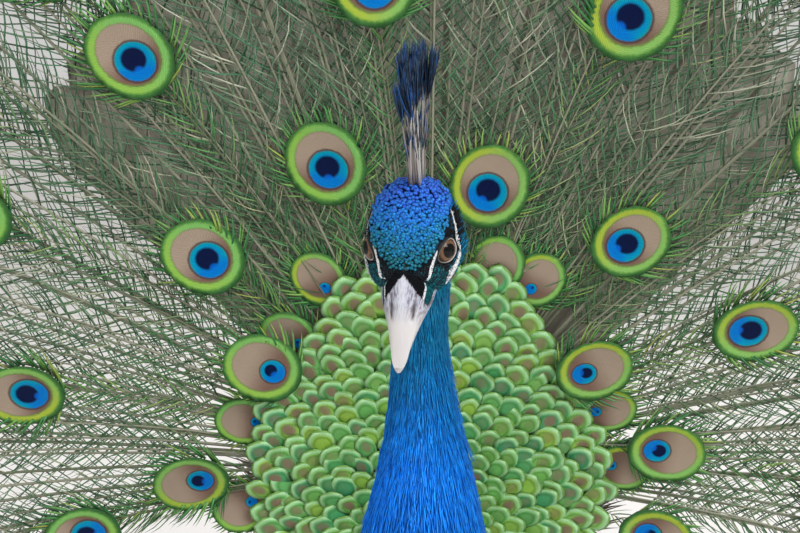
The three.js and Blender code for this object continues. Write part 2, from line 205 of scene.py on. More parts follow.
class Nodes:
    """A node tree that grows one node at a time towards the shader that it feeds."""

    def __init__(self, tree, shader):
        self.tree = tree
        self.shader = tree.nodes[shader]

    def node(self, kind, settings=None, sockets=None, output=0):
        made = self.tree.nodes.new(kind)
        for key, value in (settings or {}).items():
            if key == "stops":
                elements = made.color_ramp.elements
                while len(elements) < len(value):
                    elements.new(0.5)
                for element, (position, colour) in zip(elements, value):
                    element.position = position
                    element.color = (*colour, 1)
            else:
                setattr(made, key, value)
        for key, value in (sockets or {}).items():
            if isinstance(value, Value):
                self.tree.links.new(value.socket, made.inputs[key])
            else:
                made.inputs[key].default_value = value
        return Value(self, made.outputs[output])

    def attribute(self, name):
        return self.node("ShaderNodeAttribute", {"attribute_name": name}, output=2)

    def attributes(self, *names):
        return [self.attribute(name) for name in names]

    def noise(self, scale, detail=2.0, **sockets):
        place = self.node("ShaderNodeTexCoord", output=3)
        return self.node(
            "ShaderNodeTexNoise", sockets={"Vector": place, "Scale": scale, "Detail": detail, **sockets}
        )

    def mix(self, factor, first, second, blend="MIX"):
        colour = [(*c, 1) if isinstance(c, tuple) else c for c in (first, second)]
        settings = {"data_type": "RGBA", "blend_type": blend}
        return self.node("ShaderNodeMix", settings, {0: factor, 6: colour[0], 7: colour[1]}, output=2)

    def times(self, colour, shade):
        return self.mix(1.0, colour, shade, "MULTIPLY")

    def feed(self, socket, value):
        self.tree.links.new(value.socket, self.shader.inputs[socket])


class Finish(Nodes):
    """A material, and the Principled shader that its nodes feed."""

    def __init__(self, name, **constants):
        self.material = bpy.data.materials.new(name)
        self.material.use_nodes = True
        super().__init__(self.material.node_tree, "Principled BSDF")
        for socket, value in constants.items():
            self.shader.inputs[socket.replace("_", " ").title().replace("Ior", "IOR")].default_value = value

    def paint(self, colour):
        self.feed("Base Color", colour)

    def bump(self, height, distance, strength=1.0):
        sockets = {"Height": height, "Distance": distance, "Strength": strength}
        self.feed("Normal", self.node("ShaderNodeBump", sockets=sockets))


# ---- shapes ------------------------------------------------------------------------------


def closed_vane(steps, lanes, walls=False):
    """A closed vane's faces, and its points' places along (0 to 1), across (-1 to 1) and underneath."""
    grid = np.arange((steps + 1) * (lanes + 1)).reshape(steps + 1, lanes + 1)
    under = grid.copy()
    if walls:
        under += grid.size
    else:
        under[1:-1, 1:-1] = grid.size + np.arange((steps - 1) * (lanes - 1)).reshape(steps - 1, lanes - 1)
    faces = []
    for i in range(steps):
        for j in range(lanes):
            a, b, c, d = grid[i, j], grid[i, j + 1], grid[i + 1, j + 1], grid[i + 1, j]
            faces += [(a, b, c), (a, c, d)]
            a, b, c, d = under[i, j], under[i, j + 1], under[i + 1, j + 1], under[i + 1, j]
            faces += [(a, c, b), (a, d, c)]
    if walls:
        rim = [*grid[0, :-1], *grid[:-1, -1], *grid[-1, :0:-1], *grid[:0:-1, 0]]
        for a, b in zip(rim, rim[1:] + rim[:1]):
            faces += [(b, a, a + grid.size), (b, a + grid.size, b + grid.size)]
    s, c = np.meshgrid(np.linspace(0, 1, steps + 1), np.linspace(-1, 1, lanes + 1), indexing="ij")
    count = under.max() + 1
    along, across, beneath = np.zeros(count), np.zeros(count), np.zeros(count)
    along[grid], across[grid] = s, c
    below = under[under != grid]
    along[below], across[below] = s[under != grid], c[under != grid]
    beneath[below] = 1
    return {"faces": np.array(faces), "along": along, "across": across, "under": beneath}


def closed_tube(steps, sides, pointed=True):
    """A closed tube's faces, with its rings' places along it and round it."""
    faces = [(0, j + 1, j) for j in range(1, sides - 1)]
    rings = steps if pointed else steps + 1
    for i in range(rings - 1):
        for j in range(sides):
            a, b = i * sides + j, i * sides + (j + 1) % sides
            faces += [(a, b, b + sides), (a, b + sides, a + sides)]
    last = (rings - 1) * sides
    if pointed:
        faces += [(last + j, last + (j + 1) % sides, last + sides) for j in range(sides)]
    else:
        faces += [(last, last + j, last + j + 1) for j in range(1, sides - 1)]
    along = np.repeat(np.arange(rings) / steps, sides)
    turn = np.tile(np.arange(sides) / sides, rings)
    ring = np.repeat(np.arange(rings), sides)
    if pointed:
        along, turn, ring = np.append(along, 1), np.append(turn, 0), np.append(ring, steps)
    under = (np.sin(turn * 2 * math.pi) < -0.4).astype(float)
    return {
        "faces": np.array(faces), "along": along, "turn": turn, "ring": ring, "across": 0 * turn,
        "under": under,
    }


def tube_points(shape, path, facing, width, taper, flatness=1.0):
    """Tubes round paths (n, rings, 3). facing (n, 1 or rings, 3) is each one's upper side."""
    along = unit(np.gradient(path, axis=1))
    side = unit(np.cross(along, np.broadcast_to(facing, path.shape)))
    up = np.cross(side, along)
    angle = shape["turn"] * 2 * math.pi
    size = np.asarray(width)[:, None] * taper[shape["ring"]][None] / 2
    ring = shape["ring"]
    return (
        path[:, ring]
        + side[:, ring] * (np.cos(angle) * size)[..., None]
        + up[:, ring] * (np.sin(angle) * size * flatness)[..., None]
    )


def vane_points(shape, root, along, facing, length, width, outline, thickness, lift=0.0, curl=0.0, cup=0.0):
    """Vanes (n, points, 3) that grow along a direction and bend back towards what they lie on."""
    s, c, under = shape["along"][None], shape["across"][None], shape["under"][None]
    length, width = np.reshape(length, (-1, 1)), np.reshape(width, (-1, 1))
    half = width / 2 * outline(s)
    side = unit(np.cross(along, facing))
    body = thickness * (1 - c * c) * np.sin(math.pi * np.clip(s, 0.03, 0.97))
    rise = length * (np.reshape(lift, (-1, 1)) * s - np.reshape(curl, (-1, 1)) * s * s) - cup * half * c * c
    rise = rise + body * (0.5 - under)
    return (
        root[:, None]
        + along[:, None] * (length * s)[..., None]
        + side[:, None] * (half * c)[..., None]
        + facing[:, None] * rise[..., None]
    )


def hair_paths(points, lie, facing, length, raised, droop, rings):
    """Paths (n, rings, 3) of hairs that leave a surface and bend back towards it."""
    s = np.linspace(0, 1, rings)[None, :, None]
    out = facing[:, None] * (raised[:, None, None] * s - droop * s * s)
    return points[:, None] + length[:, None, None] * (lie[:, None] * s + out)


def rounded(s):
    """A feather's half width along it, with a narrow foot and a broad round tip."""
    tip = np.sqrt(np.clip(1 - np.clip((s - 0.55) / 0.46, 0, 1) ** 2, 0.02, 1))
    return np.clip(0.25 + 1.5 * s, 0, 1) * tip


def blade(s):
    """A long flight feather's half width along it."""
    return np.clip(0.3 + 3 * s, 0, 1) * np.sqrt(np.clip(1 - np.clip((s - 0.8) / 0.205, 0, 1) ** 2, 0.03, 1))


def lance(s):
    """A narrow pointed tuft's half width along it."""
    return np.clip(0.3 + 2.2 * s, 0, 1) * np.clip(1.12 - s * s, 0.06, 1)


CHANNELS = ("along", "across", "under", "tint", "place", "belly")


class Coat:
    """Closed tufts, vanes and shafts gathered into one piece, each with its patch of OFBake."""

    def __init__(self):
        self.points, self.faces, self.patches = [], [], []
        self.values = {channel: [] for channel in CHANNELS}
        self.count = 0

    def add(self, shape, points, patch, spread=0.003, **values):
        n, size = points.shape[:2]
        starts = self.count + size * np.arange(n)
        self.faces.append((shape["faces"][None] + starts[:, None, None]).reshape(-1, 3))
        self.points.append(points.reshape(-1, 3))
        self.count += n * size
        own = {**{k: shape[k][None] for k in ("along", "across", "under") if k in shape}, **values}
        for channel in CHANNELS:
            value = np.asarray(own.get(channel, 0.0), float)
            value = value[:, None] if value.ndim == 1 else value
            self.values[channel].append(np.broadcast_to(value, (n, size)).ravel())
        local = np.stack((shape["across"] * 0.5, shape["along"] - 0.5), -1)
        if "under" in shape and spread > 0.01:
            local = local * (0.46, 0.92) + np.stack((shape["under"] * 0.5 - 0.25, 0 * shape["along"]), -1)
        self.patches.append((np.asarray(patch)[:, None] + spread * local[None]).reshape(-1, 2))

    def build(self, name, finish, slot, replaces=()):
        points, faces = np.concatenate(self.points), np.concatenate(self.faces)
        mesh = mesh_of(name, points, faces)
        corners = faces.ravel()
        patch = np.clip(np.concatenate(self.patches), 0.001, 0.999)[corners]
        mesh.uv_layers.new(name="OFBake").uv.foreach_set("vector", patch.astype(np.float32).ravel())
        for channel, blocks in self.values.items():
            data = mesh.attributes.new(channel, "FLOAT", "POINT").data
            data.foreach_set("value", np.concatenate(blocks).astype(np.float32))
        return add_piece(name, mesh, finish, replaces)


def mesh_of(name, points, faces):
    faces = np.asarray(faces, np.int32)
    mesh = bpy.data.meshes.new(name)
    mesh.vertices.add(len(points))
    mesh.vertices.foreach_set("co", np.asarray(points, np.float32).ravel())
    mesh.loops.add(faces.size)
    mesh.loops.foreach_set("vertex_index", faces.ravel())
    mesh.polygons.add(len(faces))
    mesh.polygons.foreach_set("loop_start", np.arange(0, faces.size, faces.shape[1], dtype=np.int32))
    mesh.polygons.foreach_set("use_smooth", np.ones(len(faces), bool))
    mesh.update(calc_edges=True)
    return mesh


def add_piece(name, mesh, finish, replaces=()):
    made = bpy.data.objects.new(name, mesh)
    bpy.context.scene.collection.objects.link(made)
    mesh.materials.clear()
    mesh.materials.append(finish.material)
    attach(made, "root")
    if replaces:
        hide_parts(*replaces)
    return made


def values_on(mesh, **channels):
    for channel, values in channels.items():
        data = mesh.attributes.new(channel, "FLOAT", "POINT").data
        data.foreach_set("value", np.asarray(values, np.float32))


def points_of(mesh):
    flat = np.empty(len(mesh.vertices) * 3, np.float32)
    mesh.vertices.foreach_get("co", flat)
    return flat.reshape(-1, 3).astype(float)


def move_points(mesh, points):
    mesh.vertices.foreach_set("co", points.astype(np.float32).ravel())
    mesh.polygons.foreach_set("use_smooth", np.ones(len(mesh.polygons), bool))
    mesh.update()


def normals_of(mesh):
    flat = np.empty(len(mesh.vertices) * 3, np.float32)
    mesh.vertex_normals.foreach_get("vector", flat)
    return flat.reshape(-1, 3).astype(float)


def remeshed(name, nodes, grow, voxel, smoothing):
    """One closed skin round copies of CAD nodes: pushed out, joined, and smoothed."""
    shell = bmesh.new()
    for node in nodes:
        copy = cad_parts[node].data.copy()
        part = bmesh.new()
        part.from_mesh(copy)
        bmesh.ops.remove_doubles(part, verts=part.verts, dist=1e-5)
        part.normal_update()
        for vert in part.verts:
            vert.co += vert.normal * grow
        part.to_mesh(copy)
        part.free()
        shell.from_mesh(copy)
        bpy.data.meshes.remove(copy)
    mesh = bpy.data.meshes.new(name)
    shell.to_mesh(mesh)
    shell.free()
    made = bpy.data.objects.new(name, mesh)
    bpy.context.scene.collection.objects.link(made)
    made.modifiers.new("join", "REMESH").voxel_size = voxel
    made.modifiers["join"].mode = "VOXEL"
    even = made.modifiers.new("even", "SMOOTH")
    even.factor, even.iterations = 0.5, smoothing
    solved = made.evaluated_get(bpy.context.evaluated_depsgraph_get())
    done = bpy.data.meshes.new_from_object(solved)
    bpy.data.objects.remove(made)
    bpy.data.meshes.remove(mesh)
    done.name = name
    return done


def tree_of(name):
    mesh = bpy.data.objects[name].data
    faces = np.empty(len(mesh.loops), np.int32)
    mesh.loops.foreach_get("vertex_index", faces)
    starts = [p.loop_start for p in mesh.polygons]
    sizes = [p.loop_total for p in mesh.polygons]
    polygons = [faces[a : a + n].tolist() for a, n in zip(starts, sizes)]
    return BVHTree.FromPolygons([Vector(p) for p in points_of(mesh)], polygons)


def cast(tree, origins, directions):
    """Points and facings where rays meet a tree, and which of the rays do."""
    count = len(origins)
    points, facings, met = np.zeros((count, 3)), np.zeros((count, 3)), np.zeros(count, bool)
    for i, (origin, direction) in enumerate(zip(origins, directions)):
        place, normal, _, _ = tree.ray_cast(Vector(origin), Vector(direction), 0.4)
        if place is not None:
            points[i], facings[i], met[i] = place, normal, True
    outward = np.sign((facings * directions).sum(-1, keepdims=True))
    return points, facings * np.where(outward == 0, 1, outward), met


def body_roots(tree, start, end, step, spacing, rng, jitter=0.3):
    """Rows of roots down the neck and along the body: points, facings, lie, place and belly."""
    origins, directions, lies, places, rounds = [], [], [], [], []
    travel = start * SPINE_LENGTH
    row = 0
    while travel < end * SPINE_LENGTH:
        t = travel / SPINE_LENGTH
        k = min(int(t * (len(SPINE_LINE) - 1)), len(SPINE_LINE) - 1)
        centre, along = SPINE_LINE[k], SPINE_ALONG[k]
        back = np.array((0, -along[2], along[1]))
        around = 2 * math.pi * np.interp(t, *zip(*GIRTH))
        count = max(int(around / spacing(t)), 6)
        turn = (
            np.arange(count) + 0.5 * (row % 2) + rng.uniform(-jitter, jitter, count)
        ) / count * 2 * math.pi
        direction = np.sin(turn)[:, None] * FAN_SIDE + np.cos(turn)[:, None] * back
        slide = rng.uniform(-jitter, jitter, count)[:, None] * step(t) * along
        origins.append(centre + slide)
        directions.append(direction)
        lies.append(np.broadcast_to(along, direction.shape))
        places.append(np.full(count, t))
        rounds.append(turn)
        travel += step(t)
        row += 1
    origins, directions, lies = map(np.concatenate, (origins, directions, lies))
    points, facings, met = cast(tree, origins, directions)
    lie = flat_on(lies, facings)
    place, turn = np.concatenate(places)[met], np.concatenate(rounds)[met]
    belly = np.abs((turn + math.pi) % (2 * math.pi) - math.pi) / math.pi
    patch = np.stack((0.04 + 0.92 * (turn / (2 * math.pi) % 1), 0.04 + 0.92 * place), -1)
    return {
        "points": points[met],
        "facing": facings[met],
        "lie": lie[met],
        "place": place,
        "belly": belly,
        "patch": patch,
    }


def some(roots, keep):
    return {key: value[keep] for key, value in roots.items()}


def spread_out(points, gap, rng):
    """Which of the points to keep so that no two are closer than the gap."""
    cells, kept = {}, []
    keys = np.floor(points / gap).astype(int)
    for k in rng.permutation(len(points)):
        x, y, z = keys[k]
        near = [
            cells.get((x + i, y + j, z + l), ()) for i in (-1, 0, 1) for j in (-1, 0, 1) for l in (-1, 0, 1)
        ]
        if all(((points[k] - points[m]) ** 2).sum() > gap * gap for cell in near for m in cell):
            cells.setdefault((x, y, z), []).append(k)
            kept.append(k)
    return np.array(kept)


def limb_roots(node, gap, rng):
    """Even roots on the part of the skin that lies over one wing or thigh."""
    mesh = bpy.data.objects["skin"].data
    points, facing = points_of(mesh), normals_of(mesh)
    low, high = (np.array(corner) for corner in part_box(node))
    inside = np.flatnonzero(((points > low - 0.002) & (points < high + 0.002)).all(1))
    inside = inside[rng.permutation(len(inside))[:9000]]
    inside = inside[on_limb(points[inside], facing[inside], [node])]
    inside = inside[spread_out(points[inside], gap, rng)]
    return points[inside], facing[inside]


# Mean radius of the body along the spine.
GIRTH = (
    (0, 0.017), (0.1, 0.018), (0.2, 0.028), (0.3, 0.048), (0.4, 0.07), (0.5, 0.085), (0.65, 0.096),
    (0.8, 0.09), (0.92, 0.06), (1, 0.035),
)


def body_colour(finish):
    """The markings shared by the skin and the coat, by place along the body and round it."""
    place, belly = finish.attributes("place", "belly")
    tint, noise = finish.attribute("tint"), finish.noise(38.0, 3.0)
    wander = place + (noise - 0.5) * 0.05
    front = wander.ramp(
        (0.0, (0.005, 0.2, 0.32)),
        (0.09, (0.004, 0.21, 0.46)),
        (0.17, (0.006, 0.26, 0.95)),
        (0.36, (0.006, 0.2, 0.8)),
        (0.48, (0.008, 0.15, 0.4)),
        (0.62, (0.012, 0.075, 0.12)),
        (0.78, (0.025, 0.032, 0.028)),
    )
    rear = wander.ramp(
        (0.0, (0.007, 0.2, 0.85)),
        (0.3, (0.007, 0.2, 0.8)),
        (0.38, (0.02, 0.2, 0.4)),
        (0.46, (0.12, 0.25, 0.06)),
        (0.8, (0.16, 0.27, 0.04)),
    )
    colour = finish.mix(belly.between(0.42, 0.62), rear, front)
    shade = tint.ramp(
        (0.0, (0.5, 0.56, 0.66)), (0.4, (0.88, 0.9, 0.95)), (0.85, (1.0, 1.08, 1.05)), (1.0, (1.0, 1.5, 1.25))
    )
    return finish.mix(0.9, colour, shade, "MULTIPLY")


# ---- sizes and colours -------------------------------------------------------------------


def length_property(name, description, default, **limits):
    return bpy.props.FloatProperty(
        name=name, description=description, default=default, unit="LENGTH", **limits
    )


def count_property(name, description, default):
    return bpy.props.IntProperty(name=name, description=description, default=default)


class PeacockSizes(bpy.types.PropertyGroup):
    """Sizes that a user would change."""

    skin_voxel: length_property("Skin detail", "Width of the skin's faces", 0.002, min=0.001)
    neck_hair: length_property("Neck barb width", "Width of the hair-like barbs of the neck", 0.0005)
    bead: length_property("Crown bead", "Width of a curled feather tip on the crown", 0.00222)
    crest_length: length_property("Crest length", "Root to tip of the longest crest feather", 0.064)
    crest_count: count_property("Crest feathers", "Feathers in the crest", 24)
    barb_spacing: length_property("Barb spacing", "Space between the loose barbs of a train feather", 0.0068)
    barb_length: length_property("Barb length", "Length of a loose barb of the train", 0.062)
    barb_width: length_property("Barb width", "Width of a loose barb of the train", 0.0016)
    eyespot: length_property("Eyespot", "Width of an eyespot's outer ring", 0.0445)
    scale: length_property("Scale feather", "Width of a scale feather", 0.0168)
    seed: count_property("Seed", "Starts the small differences between feathers", 7)


def colour_property(name, description, default):
    return bpy.props.FloatVectorProperty(
        name=name, description=description, default=default, subtype="COLOR", size=3, min=0, max=1
    )


class PeacockColours(bpy.types.PropertyGroup):
    """Colours that a user would change."""

    eyespot_heart: colour_property("Heart", "Dark heart of an eyespot", (0.002, 0.008, 0.05))
    eyespot_blue: colour_property("Blue", "Disc round the heart", (0.0, 0.27, 0.56))
    eyespot_bronze: colour_property("Bronze", "Bronze field of an eyespot", (0.4, 0.31, 0.24))
    eyespot_ring: colour_property("Ring", "Outer ring of an eyespot", (0.27, 0.52, 0.09))
    horn: colour_property("Horn", "Bill away from its base", (0.58, 0.57, 0.6))
    iris: colour_property("Iris", "Brown of the eye", (0.085, 0.045, 0.024))
    buff: colour_property("Buff", "Pale ground of wings and thighs", (0.48, 0.38, 0.25))
    chestnut: colour_property("Chestnut", "Flight feathers", (0.36, 0.13, 0.035))
    backdrop: colour_property("Backdrop", "Floor and background", (0.8, 0.785, 0.77))


def sizes():
    return bpy.context.scene.peacock_sizes


def colours(name):
    return tuple(getattr(bpy.context.scene.peacock_colours, name))


def chance(step):
    return np.random.default_rng(sizes().seed * 1000 + step)


# ---- head helpers ------------------------------------------------------------------------


HEAD_TURN = np.array(HEAD.to_3x3())
HEAD_AT = np.array(HEAD.translation)


def from_head(points):
    """Millimetres in the head's own frame to metres in the bird's."""
    return np.asarray(points, float) / 1000 @ HEAD_TURN.T + HEAD_AT


def to_head(points):
    return (points - HEAD_AT) @ HEAD_TURN * 1000


def turn_of(own):
    """Degrees round the head from its top, of places in its own frame."""
    return np.degrees(np.arctan2(own[:, 0], own[:, 2]))


def on_head(tree, y, turn):
    """Points and facings of the skin at places along the head and turns from its top."""
    y, turn = np.asarray(y, float), np.radians(np.asarray(turn, float))
    axis = np.stack((0 * y, y, 0 * y), -1)
    direction = np.stack((np.sin(turn), 0 * turn, np.cos(turn)), -1) @ HEAD_TURN.T
    return cast(tree, from_head(axis), direction)


def eye_frame(side, sign):
    """Centre, radius and outward axis of one eye."""
    low, high = (np.array(corner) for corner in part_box("eye_" + side))
    seat = HEAD_TURN @ np.array((-0.0012 - sign * 0.0008, 0, 0))
    axis = unit(HEAD_TURN @ np.array((sign * 0.8, -0.36, 0.46)))
    return (low + high) / 2 + seat, (high[2] - low[2]) / 2 - 0.0001, axis


def across_eye(axis):
    """Directions across an eye: towards the bill and up."""
    bill = unit(np.cross(axis, HEAD_TURN @ np.array((0, 0, 1.0))))
    return bill, np.cross(bill, axis)


def eye_opening(turn):
    """Half the opening between the lids, as an angle from the eye's axis, at turns round it."""
    opening = 1 / np.hypot(np.cos(turn) / 0.93, np.sin(turn) / 0.72)
    return opening * (1 - 0.2 * (np.sin(turn) > 0) * np.sin(turn))


def seen_from_eye(points, centre, axis):
    """Steps and distances to points from an eye's centre, and their angles from its axis."""
    gap = points - centre
    reach = np.linalg.norm(gap, axis=1)
    return gap, reach, np.arccos(np.clip(gap @ axis / reach, -1, 1))


def past_opening(gap, angle, axis):
    """How far places round an eye lie outside the opening between its lids, as an angle."""
    bill, up = across_eye(axis)
    return angle - eye_opening(np.arctan2(gap @ up, gap @ bill))


def from_eyes(points):
    """How far points lie outside the nearer eye's opening as an angle, and from its centre in radii."""
    found = []
    for side, sign in SIDES:
        centre, radius, axis = eye_frame(side, sign)
        gap, reach, angle = seen_from_eye(points, centre, axis)
        found.append((reach / radius, past_opening(gap, angle, axis)))
    (near, angle), (other, other_angle) = found
    return np.where(near < other, angle, other_angle), np.minimum(near, other)


def sphere_of_directions(count):
    k = np.arange(count) + 0.5
    z = 1 - 2 * k / count
    turn = math.pi * (1 + math.sqrt(5)) * k
    ring = np.sqrt(1 - z * z)
    return np.stack((ring * np.cos(turn), ring * np.sin(turn), z), -1)


def head_patch(turn, y):
    """Bake patches by degrees round the head and millimetres along it."""
    return np.stack((0.5 + turn / 370, 0.5 + y / 80), -1)


def head_roots(tree, count, rng, jitter=0.02):
    """Even roots over the whole head, with their places in the head's own frame."""
    directions = unit(sphere_of_directions(count) + rng.normal(0, jitter, (count, 3)))
    centre = np.broadcast_to(from_head((0, 0, 0)), directions.shape)
    ways = directions @ HEAD_TURN.T
    points, facing, met = cast(tree, centre, ways)
    socket = from_eyes(points)[1] < 1.7
    points[socket], facing[socket], met[socket] = cast(tree, (centre + 0.06 * ways)[socket], -ways[socket])
    facing[socket] *= -1
    own = to_head(points)
    lie = flat_on(np.broadcast_to(HEAD_TURN @ np.array((0, 1.0, -0.25)), points.shape), facing)
    turn = turn_of(own)
    roots = {"points": points, "facing": facing, "lie": lie, "own": own, "turn": turn}
    return some({**roots, "patch": head_patch(turn, own[:, 1])}, met)


def beaded(own, turn):
    """Whether a place of the head carries the crown's beads."""
    y, side = own[:, 1], np.abs(turn)
    front = -18 + 9 * smooth(40, 62, side)
    limit = 59 + 35 * smooth(10, 26, y)
    return (y > front) & (side < limit) & (y < 28)


# ---- operators ---------------------------------------------------------------------------


class PEACOCK_OT_stage(bpy.types.Operator):
    """Lays the floor, hangs the lamps and sets the camera"""

    bl_idname = "peacock.stage"
    bl_label = "Stage"

    def execute(self, context):
        scene = context.scene
        scene.view_settings.view_transform = "Standard"
        tone = colours("backdrop")
        floor = bpy.data.objects.new(
            "floor",
            mesh_of("floor", [(-30, -30, 0), (30, -30, 0), (30, 30, 0), (-30, 30, 0)], [(0, 1, 2, 3)]),
        )
        scene.collection.objects.link(floor)
        ground = Finish("floor", roughness=0.9, specular_ior_level=0.1)
        grain = ground.noise(3.0, 4.0)
        ground.paint(ground.mix(grain, tuple(0.985 * c for c in tone), tone))
        floor.data.materials.append(ground.material)
        world = bpy.data.worlds.new("studio")
        scene.world = world
        world.use_nodes = True
        sky = Nodes(world.node_tree, "Background")
        way = sky.node("ShaderNodeTexCoord")
        rise = sky.node("ShaderNodeSeparateXYZ", sockets={"Vector": way}, output=2)
        sky.feed("Color", sky.mix(rise.between(0.02, 0.6), tuple(0.88 * c for c in tone), tone))
        sky.shader.inputs["Strength"].default_value = 0.88
        for name, place, aim, size, power in (
            ("key", (1.9, -2.3, 2.8), (0, 0, 0.7), 1.8, 92),
            ("fill", (-2.4, -2.2, 1.8), (0, 0, 0.6), 2.0, 16),
            ("rear", (0.5, 2.6, 2.6), (0, 0, 0.6), 2.4, 40),
        ):
            lamp = bpy.data.lights.new(name, "AREA")
            lamp.size, lamp.energy = size, power
            made = bpy.data.objects.new(name, lamp)
            made.location = place
            made.rotation_euler = (Vector(place) - Vector(aim)).to_track_quat("Z", "Y").to_euler()
            scene.collection.objects.link(made)
        camera = bpy.data.objects.new("camera", bpy.data.cameras.new("camera"))
        scene.collection.objects.link(camera)
        camera.data.lens, camera.data.sensor_width = 72.5, 36
        camera.data.clip_start, camera.data.clip_end = 0.02, 100
        camera.location = (0.019, -0.879 + SHIFT, 0.788)
        camera.rotation_euler = Euler((math.radians(82), 0, math.radians(2.07)))
        scene.camera = camera
        return {"FINISHED"}


class PEACOCK_OT_skin(bpy.types.Operator):
    """Wraps one skin round the head, neck, trunk, wings and thighs"""

    bl_idname = "peacock.skin"
    bl_label = "Skin"

    def execute(self, context):
        nodes = ["head", "neck_upper", "neck_middle", "neck_lower", "breast", "rump", "train_root"]
        nodes += [part + side for side, _ in SIDES for part in ("thigh_", "wing_")]
        mesh = remeshed("skin", nodes + ["eye_left", "eye_right"], 0.0006, sizes().skin_voxel, 6)
        points, facing = points_of(mesh), normals_of(mesh)
        own = to_head(points)
        points = points - HEAD_TURN[:, 0] * 0.001 * (1 - smooth(24, 36, np.linalg.norm(own, axis=1)))[:, None]
        place, belly = place_on_body(points)
        own = to_head(points)
        near_head = 1 - smooth(26, 36, np.linalg.norm(own - (0, 2, 0), axis=1))
        depth = np.interp(place, (0, 0.06, 0.16, 0.35, 0.5, 1), (0.002, 0.0036, 0.0026, 0.003, 0.0045, 0.005))
        depth = depth * (1 - near_head) + 0.0013 * near_head
        points = points - facing * depth[:, None]
        fuller = smooth(0.08, 0.2, place) * (1 - smooth(0.26, 0.42, place))
        slid = 0.002 * (1 - near_head) * (1 - smooth(0.12, 0.3, place))
        points[:, 0] = points[:, 0] * (1 + 0.06 * fuller) + slid + 0.003 * fuller
        for side, sign in SIDES:
            centre, radius, axis = eye_frame(side, sign)
            gap, reach, angle = seen_from_eye(points, centre, axis)
            covered = np.where(
                angle < 0.8, np.minimum(reach, 0.88 * radius), np.maximum(reach, 1.035 * radius)
            )
            points = np.where(
                (reach < 1.6 * radius)[:, None], centre + gap * (covered / reach)[:, None], points
            )
        for side, sign in SIDES:
            centre, radius, axis = eye_frame(side, sign)
            gap, reach, angle = seen_from_eye(points, centre, axis)
            outside = past_opening(gap, angle, axis)
            most = np.clip(1 - 0.96 * radius / reach, 0, 1)
            sunk = smooth(0.4, 0.05, outside) * (reach < 2.4 * radius) * most
            points = centre + gap * (1 - sunk)[:, None]
        move_points(mesh, points)
        turn = turn_of(own)
        crowned = near_head * beaded(own, turn)
        face = near_head * (1 - crowned) * (own[:, 1] < 3)
        values_on(mesh, place=place, belly=belly, tint=np.full(len(points), 0.25), face=face, crowned=crowned)
        finish = Finish("skin", roughness=0.7, specular_ior_level=0.2)
        colour = finish.mix(finish.attribute("face"), body_colour(finish), (0.012, 0.016, 0.02))
        # The skin is darkened towards navy black, by 0.45 everywhere and by 0.9 under the crown's beads,
        # where the dark skin is painted shade in the gaps between them.
        finish.paint(finish.mix(finish.attribute("crowned") * 0.45 + 0.45, colour, (0.004, 0.01, 0.02)))
        finish.bump(finish.noise(900.0, 3.0), 0.0006, 0.5)
        add_piece("skin", mesh, finish, nodes)
        return {"FINISHED"}


class PEACOCK_OT_crown(bpy.types.Operator):
    """Sets the curled feather tips of the crown like beads"""

    bl_idname = "peacock.crown"
    bl_label = "Crown"

    def execute(self, context):
        rng = chance(1)
        roots = head_roots(tree_of("skin"), 2300, rng, 0.016)
        aside, reach = from_eyes(roots["points"])
        roots = some(roots, beaded(roots["own"], roots["turn"]) & ((aside > 0.36) | (reach > NEAR_EYE)))
        n = len(roots["points"])
        grown = np.interp(roots["own"][:, 1], (-16, -8, 15), (0.85, 0.95, 1.12))
        size = sizes().bead * rng.uniform(0.85, 1.15, n) * grown
        rows, sides = 4, 8
        shape = closed_tube(rows + 1, sides)
        polar = np.linspace(0.75, 0.06, rows + 1) * math.pi
        side = unit(np.cross(roots["lie"], roots["facing"]))
        side = unit(side + rng.normal(0, 0.2, side.shape))
        out = unit(roots["facing"] + rng.normal(0, 0.16, side.shape) - 0.25 * roots["lie"])
        lie = unit(np.cross(out, side))
        ring = np.minimum(shape["ring"], rows)
        radius = np.where(shape["ring"] > rows, 0, np.sin(polar[ring]))
        height = np.where(shape["ring"] > rows, 1, np.cos(polar[ring]))
        angle = shape["turn"] * 2 * math.pi
        clump = 0.5 + 0.5 * np.sin(roots["own"][:, 0] * 0.8 + 2) * np.sin(roots["own"][:, 1] * 0.9)
        above = size * (0.1 + 0.5 * clump * rng.uniform(0.5, 1, n))
        centre = roots["points"] + roots["facing"] * above[:, None]
        scale = size[:, None, None] / 2
        points = centre[:, None] + scale * (
            side[:, None] * (radius * np.cos(angle))[None, :, None] * 1.12
            + lie[:, None] * (radius * np.sin(angle))[None, :, None] * 0.98
            + out[:, None] * height[None, :, None] * 0.85
        )
        coat = Coat()
        up = np.clip((roots["own"][:, 1] + 18) / 36, 0, 1)
        edge = np.clip(np.abs(roots["turn"]) / 70, 0, 1)
        coat.add(
            shape, points, roots["patch"], place=up, belly=edge, tint=rng.uniform(0, 1, n),
            along=height[None],
        )
        finish = Finish("crown", roughness=0.34, specular_ior_level=0.35, metallic=0.25)
        place, side = finish.attributes("place", "belly")
        tint, top = finish.attributes("tint", "along")
        high = place - side * 0.25 + (tint - 0.5) * 0.3
        colour = high.ramp(
            (0.0, (0.003, 0.12, 0.14)),
            (0.14, (0.003, 0.16, 0.27)),
            (0.3, (0.005, 0.18, 0.42)),
            (0.48, (0.007, 0.17, 0.62)),
            (0.8, (0.02, 0.095, 0.58)),
        )
        # Bright cyan flecks on the beads' tops are painted highlights; the same noise also bumps the beads.
        glints_and_bumps = finish.noise(1500.0, 3.0)
        colour = finish.mix(
            glints_and_bumps.between(0.5, 0.72) * top.between(0.2, 0.9) * 0.65, colour, (0.03, 0.5, 0.95)
        )
        # Painted shade: each bead darkens towards its base, in the gaps between beads, and is a little
        # brighter on top.
        shade = finish.mix(top.between(0.1, 0.95), (0.03, 0.04, 0.08), (1.05, 1.05, 1.1))
        finish.paint(finish.times(colour, shade))
        finish.bump(glints_and_bumps, 0.0006, 0.8)
        coat.build("crown_beads", finish, "crown")
        return {"FINISHED"}


